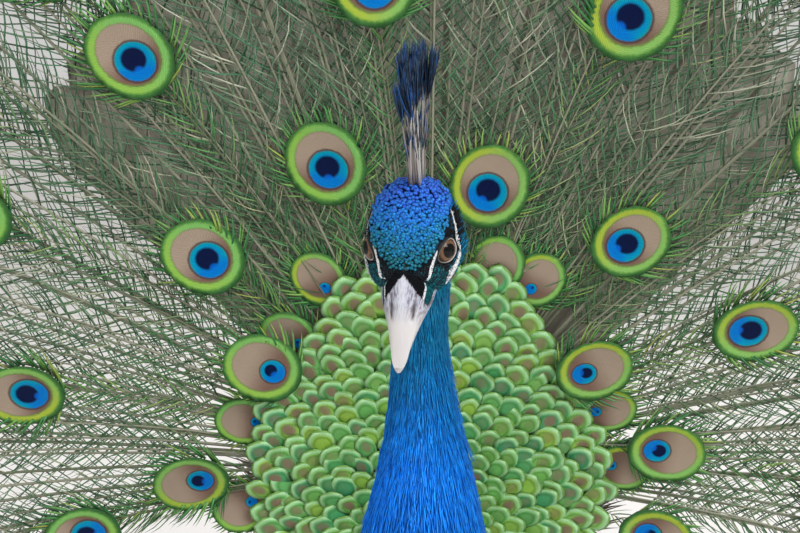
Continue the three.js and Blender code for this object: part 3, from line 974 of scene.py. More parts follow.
def stripe(tree, line, sign, rise, coat, tint):
    """A narrow raised strip of bare skin along a bow on one side of the head."""
    y, turn, width = line
    points, facing, met = on_head(tree, y, turn * sign)
    if not met.all():
        raise RuntimeError("a stripe of the face runs off the head")
    shape = closed_tube(len(y) - 1, 8, pointed=False)
    path = (points + facing * rise)[None]
    taper = width / width.max()
    made = tube_points(shape, path, facing[None], [width.max() / 1000], taper, 0.24)
    patch = np.array([(0.5 + sign * 0.2, 0.4 + 0.05 * tint)])
    coat.add(shape, made, patch, tint=np.array([tint]))


# Width of a degree on the face, how near to an eye lids and lashes are (in its radii), and a bristle's taper.
MM_PER_DEGREE = 0.35
NEAR_EYE = 1.4
BRISTLE_TAPER = np.array((1.0, 0.8, 0.0))


def bow(start, bend, end, wide, steps=18):
    """Places along the head, turns from its top and widths of a stripe that bows from start to end."""
    s = np.linspace(0, 1, steps + 1)
    place, turn = ((1 - s) ** 2 * a + 2 * s * (1 - s) * b + s * s * c for a, b, c in zip(start, bend, end))
    return place, turn, wide * (0.45 + 0.55 * np.sin(math.pi * s) ** 0.7)


# Bare white skin of the face, as (place, turn) where a stripe starts, bends and ends, and its width.
UPPER_STRIPE = ((-20.5, 78), (-13, 60), (-7.5, 62), 1.7)
BROW_STRIPE = ((11, 68), (0.5, 82), (-3, 100), 1.6)
CHEEK_STRIPE = ((-3.5, 100), (-11, 100), (-18.5, 108), 2.2)
BILL_STRIPE = ((-20.5, 86), (-24.5, 88), (-28.5, 100), 1.3)
# Where the bill's bare wedge starts. It opens by its own length to each side, as far as LORES_END.
WEDGE_TIP, LORES_END = -19.5, -28.6


def mouth_turn(place):
    """Turn of the stripe down the bill's side, which parts the lores from the cheeks."""
    places, turns, _ = bow(*BILL_STRIPE)
    return np.interp(place, places[::-1], turns[::-1])


def bare_stripes():
    """The white stripes of both sides, as one piece."""
    tree = tree_of("skin")
    stripes = Coat()
    for _, sign in SIDES:
        for line in (UPPER_STRIPE, BROW_STRIPE, CHEEK_STRIPE):
            stripe(tree, bow(*line), sign, 0.0004, stripes, 0.5)
        stripe(tree_of("bill_upper_horn"), bow(*BILL_STRIPE), sign, 0.0002, stripes, 0.5)
    finish = Finish("bare_skin", roughness=0.55, subsurface_weight=0.0)
    speckle = finish.noise(1500.0, 4.0).between(0.53, 0.62)
    finish.paint(finish.mix(speckle, (0.74, 0.75, 0.77), (0.09, 0.1, 0.12)))
    finish.bump(finish.noise(2600.0, 2.0), 0.0005, 0.7)
    stripes.build("face_stripes", finish, "crown")


def whitened(own, turn, rng):
    """Which bristles are white, because they grow along a stripe."""
    white = np.zeros(len(own))
    for line, share_of_width in ((UPPER_STRIPE, 0.55), (BROW_STRIPE, 0.55), (CHEEK_STRIPE, 0.75)):
        ys, turns, widths = bow(*line)
        for k in range(len(ys) - 1):
            step = np.array((ys[k + 1] - ys[k], (turns[k + 1] - turns[k]) * MM_PER_DEGREE))
            gap = np.stack((own[:, 1] - ys[k], (turn - turns[k]) * MM_PER_DEGREE), -1)
            share = np.clip(gap @ step / (step @ step), 0, 1)
            distance = np.linalg.norm(gap - share[:, None] * step, axis=1)
            wide = widths[k] + share * (widths[k + 1] - widths[k])
            beside = distance < wide * share_of_width
            white = np.maximum(white, beside & (rng.random(len(own)) < 0.75))
    return white


def behind_brow(own, turn):
    """Which bristles grow behind the brow stripe and the line that carries it on."""
    places, turns, _ = bow(*BROW_STRIPE)
    line = np.interp(turn, turns, places) + 0.33 * np.clip(turns[0] - turn, 0, 28)
    return own[:, 1] > line + 0.8 - 0.2 * np.clip(turn - turns[-1], 0, 32)


def add_bristles(coat, rng):
    """The short bristles of the cheeks, chin and eye stripe."""
    roots = head_roots(tree_of("skin"), 17500, rng)
    own, turn = roots["own"], np.abs(roots["turn"])
    keep = ~beaded(own, roots["turn"]) & (own[:, 1] < 26)
    white = whitened(own, turn, rng)
    aside, reach = from_eyes(roots["points"])
    keep &= (aside > 0.13) | (reach > NEAR_EYE)
    lashes = (aside < 0.3) & (reach < NEAR_EYE)
    roots = some({**roots, "white": white * ~lashes, "lashes": lashes}, keep)
    own, turn, white = roots["own"], np.abs(roots["turn"]), roots["white"]
    n = len(own)
    lores = (own[:, 1] < -11) * (turn < 76)
    eye_line = (own[:, 1] > -14) & (own[:, 1] < 12) & (turn > 54) & (turn < 96)
    black = np.maximum(lores, eye_line) * (rng.random(len(own)) < 0.93)
    kind = np.where(white > 0, 1.0, np.where(black > 0, 0.0, 0.5))
    behind = behind_brow(own, turn)
    length = np.where(behind, np.interp(turn, (60, 104, 130), (0.0046, 0.0042, 0.003)), 0.0013)
    length = np.where(kind == 1, 0.0013, length) * rng.uniform(0.75, 1.2, n)
    raised = np.where(behind & (own[:, 1] < 14), 0.42, 0.2) + 0.35 * roots["lashes"]
    raised = raised + rng.normal(0, 0.08, n)
    lie = unit(roots["lie"] + rng.normal(0, 0.16, (n, 3)))
    path = hair_paths(roots["points"], lie, roots["facing"], length, raised, 0.1, 3)
    width = np.where(behind, 0.00075, 0.0005) * rng.uniform(0.8, 1.3, n)
    shape = closed_tube(2, 3)
    points = tube_points(shape, path, roots["facing"][:, None], width, BRISTLE_TAPER, 0.6)
    tint, back = rng.uniform(0, 1, n), np.clip((own[:, 1] + 15) / 40, 0, 1)
    coat.add(shape, points, roots["patch"], place=kind, tint=tint, belly=back)


def add_lores(coat, rng):
    """The black and green bristles at the sides of the bill."""
    count = 5200
    y, turn = rng.uniform(-28.5, -18.5, count), rng.uniform(-118, 118, count)
    points, facing, met = on_head(tree_of("bill_upper_horn"), y, turn)
    lores = np.abs(to_head(points)[:, 0] + 0.5) > WEDGE_TIP - y + rng.normal(0.2, 0.3, count)
    lores &= np.abs(turn) < mouth_turn(y) - 4
    cheeks = np.abs(turn) > mouth_turn(y) + 4
    met &= lores | cheeks
    points, facing, n = points[met], facing[met], met.sum()
    lie = HEAD_TURN @ np.array((0, -1.0, -0.3)) + rng.normal(0, 0.2, (n, 3))
    lie = flat_on(lie, facing)
    s = np.linspace(0, 1, 3)[None, :, None]
    path = points[:, None] + 0.0014 * (lie[:, None] * s + facing[:, None] * (0.3 * s - 0.05))
    shape = closed_tube(2, 3)
    points = tube_points(shape, path, facing[:, None], np.full(n, 0.0006), BRISTLE_TAPER, 0.6)
    coat.add(shape, points, head_patch(turn[met], y[met]), tint=rng.uniform(0, 1, n), place=cheeks[met] * 0.5)


class PEACOCK_OT_face(bpy.types.Operator):
    """Draws the white stripes and the short bristles of the face"""

    bl_idname = "peacock.face"
    bl_label = "Face"

    def execute(self, context):
        rng = chance(2)
        bare_stripes()
        coat = Coat()
        add_bristles(coat, rng)
        add_lores(coat, rng)
        finish = Finish("face", roughness=0.6, specular_ior_level=0.2)
        kind, tint, back = finish.attributes("place", "tint", "belly")
        cheek = finish.mix(back, (0.004, 0.13, 0.16), (0.005, 0.17, 0.5))
        fade = tint.ramp((0.0, (0.25, 0.25, 0.25)), (0.7, (1.0, 1.0, 1.0)), (1.0, (1.0, 2.2, 2.2)))
        cheek = finish.times(cheek, fade)
        dark = finish.mix(kind.between(0.1, 0.4), (0.004, 0.005, 0.008), cheek)
        finish.paint(finish.mix(kind.between(0.6, 0.9), dark, (0.8, 0.81, 0.82)))
        coat.build("face_bristles", finish, "crown")
        return {"FINISHED"}


# Rings of an eyelid from inside the opening outwards: angle past its edge, least distance from the eye's
# centre and rise over the skin, both in the eye's radii, and tone. Rings with NO_SKIN don't follow the skin.
NO_SKIN = -9
LID_RINGS = (
    (-0.02, 0.985, NO_SKIN, 0.0),
    (-0.03, 1.015, NO_SKIN, 0.0),
    (-0.01, 1.048, NO_SKIN, 0.05),
    (0.02, 1.06, 0.015, 0.2),
    (0.055, 1.05, 0.008, 0.5),
    (0.085, 1.065, 0.03, 0.6),
    (0.12, 1.06, 0.028, 0.8),
    (0.155, 1.05, 0.006, 0.9),
    (0.19, 1.05, 0.024, 1.0),
    (0.235, 1.03, 0.006, 1.0),
    (0.3, 0.97, -0.05, 1.0),
    (0.1, 0.94, NO_SKIN, 0.3),
)


def build_eyeball(side, sign, finish):
    """A ball whose front bulges a little, with the angle from its axis for its rings of colour."""
    centre, radius, axis = eye_frame(side, sign)
    bill, up = across_eye(axis)
    rows, sides = 24, 32
    polar = np.linspace(0, math.pi, rows + 1)[1:-1]
    turn = np.linspace(0, 2 * math.pi, sides, endpoint=False)
    p, a = np.meshgrid(polar, turn, indexing="ij")
    bulge = 1 + 0.05 * np.exp(-((p / 0.6) ** 2))
    shell = (
        centre
        + (radius * bulge * np.cos(p))[..., None] * axis
        + (radius * np.sin(p))[..., None] * (np.cos(a)[..., None] * bill + np.sin(a)[..., None] * up)
    )
    points = np.vstack(([centre + axis * radius * 1.05], shell.reshape(-1, 3), [centre - axis * radius]))
    faces = [(0, 1 + j, 1 + (j + 1) % sides) for j in range(sides)]
    for i in range(rows - 2):
        for j in range(sides):
            a0, b0 = 1 + i * sides + j, 1 + i * sides + (j + 1) % sides
            faces += [(a0, a0 + sides, b0 + sides), (a0, b0 + sides, b0)]
    last, tail = 1 + (rows - 2) * sides, len(points) - 1
    faces += [(tail, last + (j + 1) % sides, last + j) for j in range(sides)]
    mesh = mesh_of("eyeball_" + side, points, faces)
    values_on(mesh, ring=np.concatenate(([0], np.repeat(polar, sides), [math.pi])))
    add_piece("eyeball_" + side, mesh, finish, ["eye_" + side])


def build_eyelid(side, sign, tree, finish):
    """Folded skin round an eye's opening: rings that follow the skin of the head."""
    centre, radius, axis = eye_frame(side, sign)
    bill, up = across_eye(axis)
    turn = np.linspace(0, 2 * math.pi, 48, endpoint=False)
    opening = eye_opening(turn)
    rings = []
    for spread, reach, rise, _ in LID_RINGS:
        polar = opening + spread
        ways = np.sin(polar)[:, None] * (np.cos(turn)[:, None] * bill + np.sin(turn)[:, None] * up)
        ways = ways + np.cos(polar)[:, None] * axis
        met = cast(tree, centre + 0.02 * ways, -ways)[0]
        skin = np.linalg.norm(met - centre, axis=1) / radius
        for _ in range(2):
            skin = (np.roll(skin, 1) + 2 * skin + np.roll(skin, -1)) / 4
        rings.append(centre + radius * np.maximum(reach, skin + rise)[:, None] * ways)
    count, m = len(LID_RINGS), len(turn)
    faces = []
    for i in range(count):
        for j in range(m):
            k, beyond = (j + 1) % m, (i + 1) % count
            faces.append((i * m + j, i * m + k, beyond * m + k, beyond * m + j))
    mesh = mesh_of("eyelid_" + side, np.concatenate(rings), faces)
    low_side = np.clip(0.5 - 1.2 * np.sin(turn + 0.5), 0, 1)
    values_on(mesh, ring=np.repeat([tone for *_, tone in LID_RINGS], m), low=np.tile(low_side, count))
    add_piece("eyelid_" + side, mesh, finish)


class PEACOCK_OT_eyes(bpy.types.Operator):
    """Seats the eyes and their lids"""

    bl_idname = "peacock.eyes"
    bl_label = "Eyes"

    def execute(self, context):
        eye = Finish("eye", roughness=0.03, specular_ior_level=0.22)
        ring = eye.attribute("ring")
        threads = eye.noise(1600.0, 3.0)
        brown = eye.mix(
            threads.between(0.3, 0.7), colours("iris"), tuple(min(c * 2.4, 1) for c in colours("iris"))
        )
        brown = eye.mix(ring.between(0.62, 0.8), brown, (0.03, 0.018, 0.012))
        eye.paint(eye.mix(ring.between(0.45, 0.5), (0.001, 0.001, 0.002), brown))
        tree = tree_of("skin")
        lid = Finish("eyelid", roughness=0.5, specular_ior_level=0.3)
        edge = lid.attribute("ring")
        folds = lid.noise(2400.0, 4.0)
        low_lid = lid.attribute("low")
        rim = lid.mix(low_lid, (0.11, 0.1, 0.095), (0.52, 0.47, 0.43))
        rim = lid.mix(folds.between(0.45, 0.7) * 0.6, rim, (0.09, 0.075, 0.07))
        lid.paint(lid.mix(edge.between(0.05, 0.4), rim, (0.01, 0.012, 0.016)))
        lid.bump(folds, 0.0005, 0.6)
        for side, sign in SIDES:
            build_eyeball(side, sign, eye)
            build_eyelid(side, sign, tree, lid)
        return {"FINISHED"}


# The bill in millimetres along the head (BILL_BASE to its tip), each as places with values there:
# half widths of its upper and lower half, and the heights of its ridge and its keel.
BILL_BASE, UPPER_LENGTH, LOWER_LENGTH = -13, 45.6, 39.5
UPPER_WIDTH = (
    (-58.6, 2.4), (-54, 3.3), (-48, 4.5), (-42, 6.0), (-37, 7.3), (-33, 8.7), (-28, 10.2), (-22, 11.1),
    (-13, 11.4),
)
LOWER_WIDTH = (
    (-52.5, 3.0), (-48, 4.2), (-42, 5.9), (-37, 7.6), (-33, 9.1), (-28, 11.2), (-22, 12.5), (-13, 12.4)
)
RIDGE = (
    (-58.6, -12.2), (-54, -9.7), (-48, -6.2), (-42, -3.2), (-36, -0.6), (-29, 2.2), (-22, 5.2), (-18, 6.9),
    (-13, 8.9),
)
KEEL = ((-52.5, -13.8), (-48, -13.2), (-38, -12.0), (-26, -11.2), (-9, -10.6))


def eased(places, stops):
    """Values between stops, with their corners smoothed away."""
    line = np.interp(places, *zip(*stops))
    for _ in range(6):
        line[1:-1] = (line[:-2] + 2 * line[1:-1] + line[2:]) / 4
    return line


def half_tube_faces(stations, around, outward):
    """Faces of a half tube and of its flat side."""
    row = around + 1
    faces = []
    for a in range(0, stations * row, row):
        faces += [(a + j, a + j + 1, a + row + j + 1, a + row + j) for j in range(around)]
        faces.append((a, a + row, a + row + around, a + around))
    return faces if outward else [quad[::-1] for quad in faces]


def build_bill_half(part, finish):
    """One half of the bill: its outline, its nostrils or keel, and where feathers cover its base."""
    upper = part == "bill_upper"
    stations, around = 60, 40
    t = 1 - (1 - np.linspace(0, 1, stations + 1)) ** 1.6
    y = BILL_BASE - t * (UPPER_LENGTH if upper else LOWER_LENGTH)
    reach = (BILL_BASE - y) / UPPER_LENGTH
    seam = -5.0 - 1.2 * reach - 5.6 * reach**3
    blunt = np.sqrt(np.clip(1 - np.clip((t - 0.86) / 0.14, 0, 1) ** 2.2, 0.0006, 1))
    width = eased(y, UPPER_WIDTH if upper else LOWER_WIDTH) * blunt
    top = seam + (eased(y, RIDGE) - seam) * blunt
    low = seam + (eased(y, KEEL) - seam) * blunt
    angle = np.linspace(0, math.pi, around + 1)
    x, rise = np.cos(angle), np.sin(angle) ** 0.86
    px = width[:, None] * np.sign(x) * np.abs(x) ** 0.92 * (1 - 0.12 * (1 - t)[:, None] * rise)
    py = np.broadcast_to(y[:, None], px.shape)
    nostril = np.zeros(px.shape)
    if upper:
        wedge = np.interp(y, (-24, -19), (10, 0.3))[:, None]
        height = (top - seam)[:, None] - 3.0 * np.clip((np.abs(px) - wedge) / 5, 0, 1)
        pz = seam[:, None] + height * rise
        centre = 5.4 - 0.9 * (py + 28) / -10
        off_centre = np.abs(px) - centre
        slit = np.exp(-((off_centre / 0.75) ** 2)) * (1 - np.clip((py + 33.5) / 5.5, -1, 1) ** 2)
        slit = slit * (np.abs(angle - math.pi / 2) < 1.25)
        groove = np.exp(-((off_centre / 1.9) ** 2)) * np.clip(1 - ((py + 31) / 9.5) ** 2, 0, 1)
        nostril = np.clip(slit * 1.4, 0, 1) ** 2
        pz = pz - 0.9 * slit - 0.55 * groove
        pz = pz + 0.35 * np.exp(-((px / 1.4) ** 2)) * np.clip(1 - t[:, None], 0, 1)
    else:
        pz = seam[:, None] - 0.25 - (seam - 0.25 - low)[:, None] * rise
    points = np.stack((px - 0.4 - 0.014 * (-15 - py), py, pz), -1).reshape(-1, 3)
    mesh = mesh_of("bill", from_head(points), half_tube_faces(stations, around, upper))
    fill = bmesh.new()
    fill.from_mesh(mesh)
    bmesh.ops.holes_fill(fill, edges=[e for e in fill.edges if e.is_boundary])
    bmesh.ops.recalc_face_normals(fill, faces=fill.faces)
    fill.to_mesh(mesh)
    fill.free()
    turn, mouth = np.degrees(np.arctan2(np.abs(px), pz)), mouth_turn(py)
    lores = np.minimum(np.abs(px) - (WEDGE_TIP - py), (mouth - 2 - turn) * 0.2)
    feathered = np.maximum(lores, (turn - mouth - 2) * 0.2)
    feathered = np.where(py > LORES_END, feathered, -1.0) * upper
    share = np.repeat(t if upper else t * 0.92, around + 1)
    across = np.tile(np.cos(angle), stations + 1)
    values_on(mesh, along=share, across=across, nostril=nostril.ravel(), feathered=feathered.ravel())
    add_piece(part + "_horn", mesh, finish, [part])


class PEACOCK_OT_bill(bpy.types.Operator):
    """Shapes the two halves of the bill, with its ridge and nostrils"""

    bl_idname = "peacock.bill"
    bl_label = "Bill"

    def execute(self, context):
        finish = Finish("bill", roughness=0.3, specular_ior_level=0.5)
        along, across = finish.attributes("along", "across")
        place = finish.node("ShaderNodeCombineXYZ", sockets={"X": along * 7.0, "Y": across * 6.0, "Z": 0.0})
        streaks = finish.node(
            "ShaderNodeTexNoise", sockets={"Vector": place, "Scale": 2.0, "Detail": 5.0, "Roughness": 0.6}
        )
        blotch = finish.noise(150.0, 2.0)
        base = finish.mix(streaks.between(0.36, 0.62), (0.18, 0.175, 0.25), (0.5, 0.52, 0.6))
        worn = streaks.between(0.5, 0.4) * across.size().between(0.25, 0.5)
        worn = worn * along.between(0.6, 0.5) * along.between(0.2, 0.35)
        base = finish.mix(worn * 0.8, base, (0.15, 0.1, 0.1))
        tip = finish.mix(blotch, colours("horn"), (0.66, 0.62, 0.59))
        colour = finish.mix(along.between(0.36, 0.62), base, tip)
        ridge = across.size().between(0.3, 0.05) * along.between(0.7, 0.3)
        colour = finish.mix(ridge * 0.6, colour, (0.7, 0.72, 0.8))
        colour = finish.mix(finish.attribute("nostril") * 0.9, colour, (0.035, 0.025, 0.028))
        edge = finish.attribute("feathered") + (streaks - 0.5) * 1.2
        finish.paint(finish.mix(edge.between(0.0, 0.35), colour, (0.006, 0.007, 0.01)))
        finish.bump(streaks, 0.0005, 0.35)
        for part in ("bill_upper", "bill_lower"):
            build_bill_half(part, finish)
        return {"FINISHED"}


# Barbs in the small vane of each crest feather.
CREST_BARBS = 64


class PEACOCK_OT_crest(bpy.types.Operator):
    """Raises the crest: bare shafts with small blue vanes"""

    bl_idname = "peacock.crest"
    bl_label = "Crest"

    def execute(self, context):
        rng = chance(3)
        n = sizes().crest_count
        share = (np.arange(n) + 0.5) / n
        lean = math.radians(36) + np.interp(share, (0, 1), (-0.36, 0.3)) + rng.normal(0, 0.03, n)
        sway = np.radians(rng.uniform(-3.5, 3.5, n)) + 0.085
        root = np.stack((rng.uniform(-3.3, 3.3, n) + 0.8, 16 + 8 * share, 16.6 - 4.0 * share), -1)
        direction = np.stack((np.sin(sway), np.sin(lean) * np.cos(sway), np.cos(lean) * np.cos(sway)), -1)
        grown = 0.8 + 0.2 * np.sin(math.pi * (0.25 + 0.6 * share))
        length = sizes().crest_length * 1000 * grown * rng.uniform(0.94, 1.03, n)
        s = np.linspace(0, 1, 7)
        sag = np.stack((rng.normal(0, 0.8, n), rng.normal(1.0, 0.6, n), 0 * share), -1)
        bare = 0.8 * length
        straight = root[:, None] + direction[:, None] * (bare[:, None] * s)[..., None]
        path = straight + sag[:, None] * (s * s)[None, :, None]
        shaft = closed_tube(6, 5)
        side = np.broadcast_to(HEAD_TURN @ np.array((1.0, 0, 0)), (n, 1, 3))
        coat = Coat()
        taper = np.array((1.15, 1, 0.9, 0.8, 0.7, 0.6, 0.0))
        patch = np.stack((0.1 + 0.8 * share, np.full(n, 0.3)), -1)
        points = tube_points(shaft, from_head(path), side, np.full(n, 0.00105), taper)
        coat.add(shaft, points, patch, tint=rng.uniform(0, 0.35, n))
        barb = closed_tube(3, 3)
        for k in range(n):
            count = CREST_BARBS
            start = rng.uniform(0.72, 1.0, count)
            stray = rng.random(count) < 0.12
            start[stray] = rng.uniform(0.25, 0.7, stray.sum())
            foot = root[k] + direction[k] * (bare[k] * start)[:, None] + sag[k] * (start**2)[:, None]
            spread = rng.uniform(-1, 1, count)
            aside = rng.normal(0, 0.22, count)
            out = np.stack((aside, np.cos(lean[k]) * spread, -np.sin(lean[k]) * spread), -1)
            twist = rng.normal(0, 0.35)
            out = out + np.array((twist, 0, 0)) * np.abs(spread)[:, None]
            size = length[k] * (1.0 - 0.8 * start) * rng.uniform(0.75, 1.1, count)
            size = size * np.where(stray, 0.22, 1)
            u = np.linspace(0, 1, 4)[None, :, None]
            reach = direction[k] * (0.95 * u) + out[:, None] * (0.34 * u * (1.3 - 0.5 * u))
            line = foot[:, None] + size[:, None, None] * reach
            facing = np.broadcast_to(side[0], (count, 1, 3))
            width = rng.uniform(0.0005, 0.001, count)
            made = tube_points(barb, from_head(line), facing, width, np.array((0.6, 1, 0.8, 0)), 0.6)
            patches = np.tile(((0.1 + 0.8 * share[k], 0.7),), (count, 1))
            patches = patches + rng.uniform(-0.02, 0.02, (count, 2))
            coat.add(barb, made, patches, tint=rng.uniform(0.5, 1, count))
        finish = Finish("crest", roughness=0.45)
        tint = finish.attribute("tint")
        shafts = tint.ramp((0.0, (0.16, 0.13, 0.12)), (0.2, (0.36, 0.33, 0.31)), (0.4, (0.62, 0.6, 0.6)))
        vanes = tint.ramp(
            (0.5, (0.002, 0.005, 0.012)), (0.75, (0.003, 0.02, 0.06)), (0.88, (0.004, 0.06, 0.14)),
            (1.0, (0.006, 0.12, 0.5)),
        )
        finish.paint(finish.mix(tint.between(0.42, 0.46), shafts, vanes))
        coat.build("crest_feathers", finish, "crest", ["crest"])
        return {"FINISHED"}


class PEACOCK_OT_neck(bpy.types.Operator):
    """Covers the neck in hair-like barbs"""

    bl_idname = "peacock.neck"
    bl_label = "Neck"

    def execute(self, context):
        rng = chance(4)
        width = sizes().neck_hair
        spacing = lambda t: width * np.interp(t, (0, 0.15, 0.3, 0.45), (1.5, 1.86, 3.1, 4.6))
        step = lambda t: np.interp(t, (0, 0.2, 0.45), (0.0023, 0.003, 0.0052))
        roots = body_roots(tree_of("skin"), 0.0, 0.47, step, spacing, rng)
        own = to_head(roots["points"])
        turn = turn_of(own)
        covered = (own[:, 1] < 6) | beaded(own, turn)
        on_face = (np.linalg.norm(own, axis=1) < 30) & covered & (own[:, 2] > -15.5)
        roots = some(roots, ~on_face)
        n = len(roots["points"])
        t = roots["place"]
        length = np.interp(t, (0, 0.15, 0.45), (0.0085, 0.0115, 0.021)) * rng.uniform(0.75, 1.2, n)
        broad = width * np.interp(t, (0, 0.15, 0.3, 0.45), (1.1, 1.35, 2.1, 3.8)) * rng.uniform(0.7, 1.3, n)
        shape = closed_tube(3, 3)
        side = unit(np.cross(roots["lie"], roots["facing"]))
        clump = np.sin(roots["patch"][:, 0] * 210 + t * 60) * 0.1
        lie = unit(roots["lie"] + side * (clump + rng.normal(0, 0.1, n))[:, None])
        lift = rng.normal(0.12, 0.025, n)
        path = hair_paths(roots["points"], lie, roots["facing"], length, lift, 0.06, 4)
        points = tube_points(shape, path, roots["facing"][:, None], broad, np.array((0.9, 1, 0.7, 0)), 0.5)
        finish = Finish("neck_barbs", roughness=0.45, specular_ior_level=0.25, metallic=0.3)
        finish.paint(body_colour(finish))
        tint = rng.uniform(0, 1, n)
        cut = t < 0.2
        for name, keep in (("neck_upper_barbs", cut), ("neck_lower_barbs", ~cut)):
            coat = Coat()
            belly = roots["belly"][keep]
            coat.add(shape, points[keep], roots["patch"][keep], place=t[keep], belly=belly, tint=tint[keep])
            coat.build(name, finish, "neck")
        return {"FINISHED"}


def scale_finish(name, brightness=1.0):
    """Gold-green scale feathers: a pale arched rim, a green ring and a bronze spot."""
    finish = Finish(name, roughness=0.42, specular_ior_level=0.45, metallic=0.2)
    along, across = finish.attributes("along", "across")
    tint, place = finish.attributes("tint", "place")
    ring = (((along - 0.48) * 1.95) ** 2.0 + (across * 0.94) ** 2.0) ** 0.5
    ring = ring + (finish.noise(260.0, 2.0) - 0.5) * 0.12
    lime = tint.ramp(
        (0.0, (0.05, 0.4, 0.2)), (0.25, (0.15, 0.55, 0.17)), (0.7, (0.26, 0.64, 0.13)),
        (1.0, (0.42, 0.68, 0.08)),
    )
    field = finish.mix(ring.between(0.6, 0.85), lime, (0.44, 0.78, 0.4))
    field = finish.mix(ring.between(0.66, 0.58) * ring.between(0.42, 0.52) * 0.45, field, (0.07, 0.26, 0.05))
    field = finish.mix(ring.between(0.92, 1.02), field, (0.2, 0.42, 0.09))
    spot = ((((along - 0.6) * 4.4) ** 2.0 + (across * 2.1) ** 2.0) ** 0.5).between(1.15, 0.5)
    field = finish.mix(spot * place, field, (0.3, 0.2, 0.14))
    foot = along.between(0.42, 0.18)
    field = finish.mix(foot * 0.85, field, (0.03, 0.1, 0.02))
    comb = (along * 1.4 - across.size() * 0.8 + ring * 0.2) * 75.0
    fine = comb.maths("SINE", comb) * 0.5 + 0.5
    shade = finish.mix(fine, tuple([0.8 * brightness] * 3), tuple([1.12 * brightness] * 3))
    finish.paint(finish.times(field, shade))
    finish.bump(fine, 0.0004, 0.5)
    return finish


class PEACOCK_OT_body(bpy.types.Operator):
    """Lays the close feathers of the breast, belly and back"""

    bl_idname = "peacock.body"
    bl_label = "Body"

    def execute(self, context):
        rng = chance(5)
        wide = lambda t: np.interp(t, (0.36, 0.5, 1), (0.0075, 0.0115, 0.0125))
        step = lambda t: np.interp(t, (0.36, 0.5, 1), (0.0062, 0.0088, 0.0095))
        roots = body_roots(tree_of("skin"), 0.37, 0.985, step, wide, rng, 0.18)
        limbs = [part + side for part in ("wing_", "thigh_") for side, _ in SIDES]
        roots = some(roots, ~on_limb(roots["points"], roots["facing"], limbs))
        n = len(roots["points"])
        t = roots["place"]
        length = np.interp(t, (0.36, 0.5, 0.85, 1), (0.017, 0.024, 0.03, 0.034)) * rng.uniform(0.9, 1.12, n)
        width = np.interp(t, (0.36, 0.5, 1), (0.012, 0.0175, 0.02)) * rng.uniform(0.9, 1.1, n)
        shape = closed_vane(4, 2)
        lie = unit(roots["lie"] + rng.normal(0, 0.05, (n, 3)))
        back = roots["belly"] < 0.45 + 0.04 * np.sin(t * 90)
        back &= t > 0.42
        finish = Finish("body_feathers", roughness=0.42, metallic=0.25)
        colour = body_colour(finish)
        rim = finish.attribute("along").between(0.78, 0.98)
        colour = finish.mix(rim * 0.5, colour, finish.times(colour, (0.35, 0.4, 0.45)))
        finish.paint(colour)
        finish.bump(finish.noise(1100.0, 2.0), 0.0004, 0.5)
        scales = scale_finish("back_scales")
        laid = {**roots, "lie": lie, "length": length, "width": width}
        for name, keep, material in (("body_feathers", ~back, finish), ("back_scales", back, scales)):
            own = some(laid, keep)
            lying = (own["points"], own["lie"], own["facing"], own["length"], own["width"])
            points = vane_points(shape, *lying, rounded, 0.0007, 0.2, 0.12, 0.2)
            coat, tint = Coat(), rng.uniform(0, 1, keep.sum())
            coat.add(shape, points, own["patch"], tint=tint, place=own["place"], belly=own["belly"])
            coat.build(name, material, "body")
        return {"FINISHED"}


def on_limb(points, facing, nodes):
    """Which points of the skin lie over the given CAD nodes rather than over the trunk."""
    reach = {}
    for group, names in (("limb", nodes), ("trunk", ("neck_lower", "breast", "rump", "train_root"))):
        found = np.full(len(points), 1.0)
        for node in names:
            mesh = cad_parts[node].data
            tree = BVHTree.FromPolygons(
                [v.co for v in mesh.vertices], [tuple(p.vertices) for p in mesh.polygons]
            )
            gaps = [tree.find_nearest(Vector(p))[3] for p in points + 0.0045 * facing]
            found = np.minimum(found, gaps)
        reach[group] = found
    return reach["limb"] < reach["trunk"] - 0.0005


def barred_finish(name, ground, bars, gloss=0.5, bar=(0.025, 0.022, 0.02)):
    """Feathers with dark wavy bars on a pale ground."""
    finish = Finish(name, roughness=gloss)
    along, across, tint = finish.attributes("along", "across", "tint")
    wave = along * bars + across * across * -0.55 + tint * 3.0 + (finish.noise(90.0, 1.0) - 0.5) * 0.6
    stripes = wave.maths("FRACT", wave)
    dark = stripes.between(0.42, 0.55) * stripes.between(1.0, 0.88)
    ground_colour = finish.mix(tint, tuple(c * 0.78 for c in ground), tuple(min(c * 1.12, 1) for c in ground))
    colour = finish.mix(dark * 0.92, ground_colour, bar)
    shaft = across.size().between(0.09, 0.03)
    colour = finish.mix(shaft * 0.7, colour, (0.09, 0.06, 0.04))
    finish.paint(colour)
    finish.bump(finish.noise(900.0, 2.0), 0.0004, 0.5)
    return finish


def add_coverts(side, sign, coverts, rng):
    """The short barred feathers over a folded wing."""
    shape = closed_vane(6, 4)
    low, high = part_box("wing_" + side)
    points, facing = limb_roots("wing_" + side, 0.0098, rng)
    n = len(points)
    share = (points[:, 1] - low[1]) / (high[1] - low[1])
    drop = np.interp(share, (0, 1), (0.1, 0.42))
    lie = flat_on(np.stack((0 * share, np.cos(drop), -np.sin(drop)), -1), facing)
    length = np.interp(share, (0, 0.5, 1), (0.022, 0.032, 0.042)) * rng.uniform(0.92, 1.1, n)
    width = np.interp(share, (0, 0.5, 1), (0.016, 0.0205, 0.024)) * rng.uniform(0.95, 1.08, n)
    made = vane_points(shape, points, lie, facing, length, width, rounded, 0.0009, 0.13, 0.08, 0.22)
    height = (points[:, 2] - low[2]) / (high[2] - low[2])
    patch = np.stack((0.5 + sign * (0.05 + 0.4 * share), height * 0.8 + 0.1), -1)
    coverts.add(shape, made, patch, tint=rng.uniform(0, 1, n), place=share)


# Secondaries, and as many primaries, that show in a folded wing.
LONG_FEATHERS = 9


